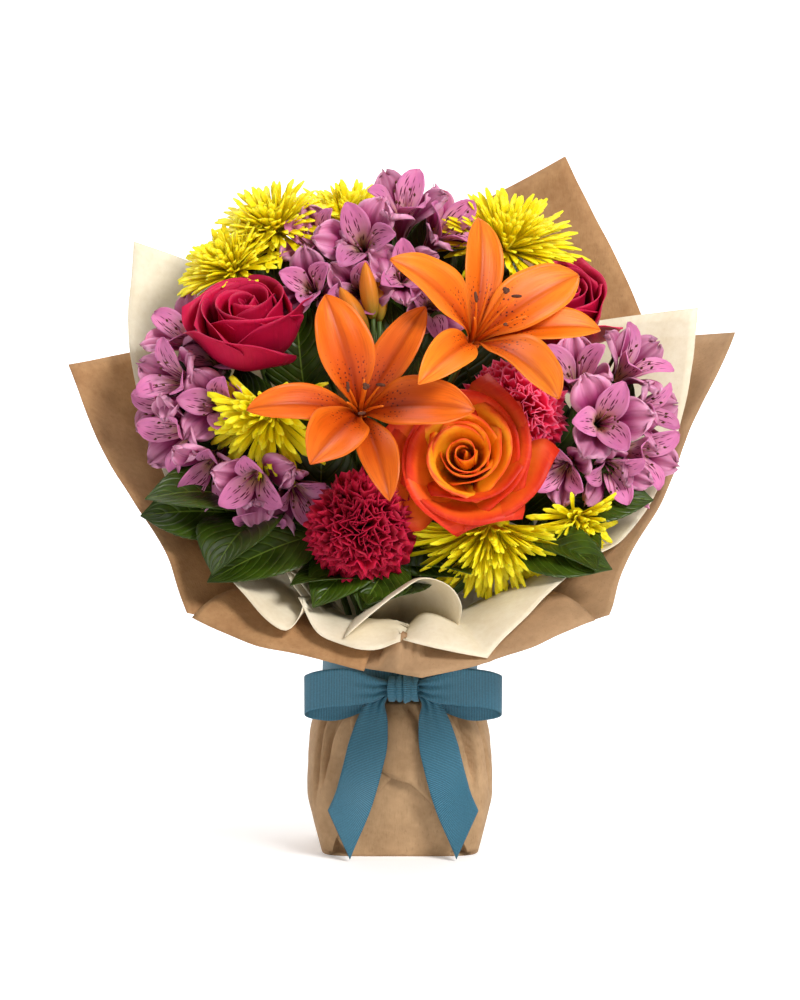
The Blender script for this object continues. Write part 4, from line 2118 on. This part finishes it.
FOOT = Foot(
    (
        (0, 51, 46, 6.0), (12, 54.2, 49, 5.6), (24, 57.4, 52, 4.6), (37, 60.4, 54, 3.8),
        (66, 59.5, 54, 3.2), (88, 54.5, 51, 2.6), (105, 42.2, 42.2, 2.0), (130.5, 42, 42, 2.0),
    ),
    (
        (-2.62, 0.0016, 38, 3.4, 0.1), (-2.4, 0.001, 52, 3.0, 0.09), (-2.2, -0.0022, 44, 3.2, 0.1),
        (-1.98, 0.003, 58, 2.6, 0.08), (-1.72, -0.0016, 60, 2.4, 0.07), (-1.5, 0.0022, 56, 2.6, 0.08),
        (-1.28, -0.0028, 58, 2.4, 0.08), (-1.02, 0.002, 50, 3.0, 0.09), (-0.8, -0.0014, 42, 3.4, 0.1),
        (-0.56, 0.0018, 40, 3.2, 0.1), (0.0, 0.001, 44, 3.0, 0.1), (0.45, -0.0012, 50, 3.0, 0.1),
        (0.95, 0.0016, 42, 3.2, 0.1), (1.5, -0.001, 46, 3.0, 0.1), (2.0, 0.0014, 44, 3.2, 0.1),
        (2.55, -0.0012, 50, 3.0, 0.1), (3.0, 0.001, 46, 3.0, 0.1),
    ),
)
BOW = Ribbon(
    loop=(
        (2, -0.7, 0.2, 0.34), (9.5, -1.3, 0.5, 0.4), (19, -7.5, 0.7, 0.68), (36, -11.5, 2.6, 0.98),
        (53, -9.8, 1.0, 1.0), (62.4, -3.5, -3.0, 1.0), (60, 4.5, -7.6, 0.98), (42, 6.5, -10, 0.92),
        (22, 4.6, -5.5, 0.66), (9.5, 1.3, -0.6, 0.4), (2, 0.9, -0.3, 0.34),
    ),
    tail=(
        (3, 0.1, -0.6, 0.3), (10.5, -0.2, -1.4, 0.3), (17, -2.5, -8, 0.46), (19.5, -4.5, -20, 0.78),
        (23, -6.2, -38, 1.0), (31, -8.2, -68, 1.0), (41, -7.8, -93, 1.0),
    ),
)


# Studio


class LightKind(Enum):
    """The studio's lamps: where each stands, what it lights, how big and how strong it is."""

    KEY = ((1.3, -1.9, 1.8), (0, 0, 0.26), 0.9, 74.0)
    FILL = ((-1.9, -1.5, 0.9), (0, 0, 0.24), 1.6, 7.0)
    TOP = ((-0.4, 0.5, 2.2), (0, 0, 0.3), 1.2, 24.0)


@dataclass(frozen=True)
class Studio:
    """A plain pale room: floor and wall in one sweep, three soft lamps, and the camera."""

    target: Point = (0.0, 0.0, 0.226)
    distance: float = 2.4
    elevation: float = 5.0
    lens: float = 132.9
    half: float = 28.0
    length: float = 44.0
    flat: float = 5.5
    bend: float = 2.5

    def build(self) -> None:
        """Makes the sweep, the lamps, the world and the camera."""
        self.sweep()
        for kind in LightKind:
            at, aim, size, power = kind.value
            lamp = bpy.data.lights.new(kind.name.lower(), "AREA")
            lamp.shape, lamp.size, lamp.energy = "DISK", size, power
            self.aim(add_object(kind.name.lower(), lamp), Vector(at), Vector(aim))
        world = bpy.data.worlds.new("pale_room")
        world.use_nodes = True
        background = world.node_tree.nodes["Background"]
        fill(background, {"Color": (1.0, 0.99, 0.98, 1.0), "Strength": 0.22})
        bpy.context.scene.world = world
        bpy.context.scene.view_settings.view_transform = "Standard"
        self.camera()

    def sweep(self) -> None:
        """The floor, which curves up into the wall behind."""
        draft = Draft()

        def point(u: float, v: float) -> Vector:
            """The place of a point of the sweep."""
            run = u * self.length - self.half
            if run < self.flat:
                return Vector((self.half * v, run, 0))
            angle = min((run - self.flat) / self.bend, pi / 2)
            rest = max(run - self.flat - self.bend * pi / 2, 0)
            back = self.flat + self.bend * sin(angle)
            return Vector((self.half * v, back, self.bend * (1 - cos(angle)) + rest))

        draft.grid(176, 2, point)
        mesh = bpy.data.meshes.new("sweep")
        draft.bm.to_mesh(mesh)
        draft.bm.free()
        pale = bpy.data.materials.new("studio_paper_white")
        pale.use_nodes = True
        shader = pale.node_tree.nodes["Principled BSDF"]
        fill(shader, {"Base Color": (0.93, 0.93, 0.93, 1), "Roughness": 0.9})
        fill(shader, {"Emission Color": (1, 1, 1, 1)})
        # The wall glows more than the floor, like a backdrop with its own lamps
        where = add_node(pale.node_tree, "TexCoord").outputs["Object"]
        depth = add_node(pale.node_tree, "SeparateXYZ", {0: where}).outputs[1]
        glow = add_node(pale.node_tree, "MapRange", {0: depth, 1: 0.3, 2: 3.0, 3: 0.24, 4: 0.9})
        fill(shader, {"Emission Strength": glow})
        mesh.materials.append(pale)
        floor = add_object("sweep", mesh)

    def camera(self) -> None:
        """The camera, at the photograph's angle."""
        lens = bpy.data.cameras.new("camera")
        lens.lens = self.lens
        lens.sensor_width = 36.0
        lens.clip_start = 0.05
        rise = radians(self.elevation)
        target = Vector(self.target)
        away = Vector((0, -cos(rise), sin(rise))) * self.distance
        bpy.context.scene.camera = add_object("camera", lens)
        self.aim(bpy.context.scene.camera, target + away, target)

    @staticmethod
    def aim(thing: bpy.types.Object, at: Vector, target: Vector) -> None:
        """Puts a lamp or the camera at a place and turns it to a target."""
        thing.location = at
        thing.rotation_euler = (target - at).to_track_quat("-Z", "Y").to_euler()


def main() -> None:
    """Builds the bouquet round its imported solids."""
    logging.basicConfig(level=logging.INFO, format="%(name)s %(message)s")
    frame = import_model()
    Studio().build()
    for node, finish in (("glass_vase", GLASS), ("water", WATER)):
        frame["nodes"][node].data.materials.clear()
        frame["nodes"][node].data.materials.append(finish.material())
    FOOT.build()
    wrapping = Wrapping(Neck())
    inner: list[BVHTree] = []
    for sheet in SHEETS:
        wrapping.sheet(*sheet, inner)
    BOW.build()
    for kind, group in (("lily", LILIES), ("rose", ROSES), ("carnation", CARNATIONS), ("mum", MUMS)):
        for flower in group:
            flower.build()
            BloomStem(flower.name, kind).build()
    BUDS.build()
    for spray in ALSTROEMERIAS:
        spray.build()
    for green in GREENS:
        green.build()


if __name__ == "__main__":
    main()
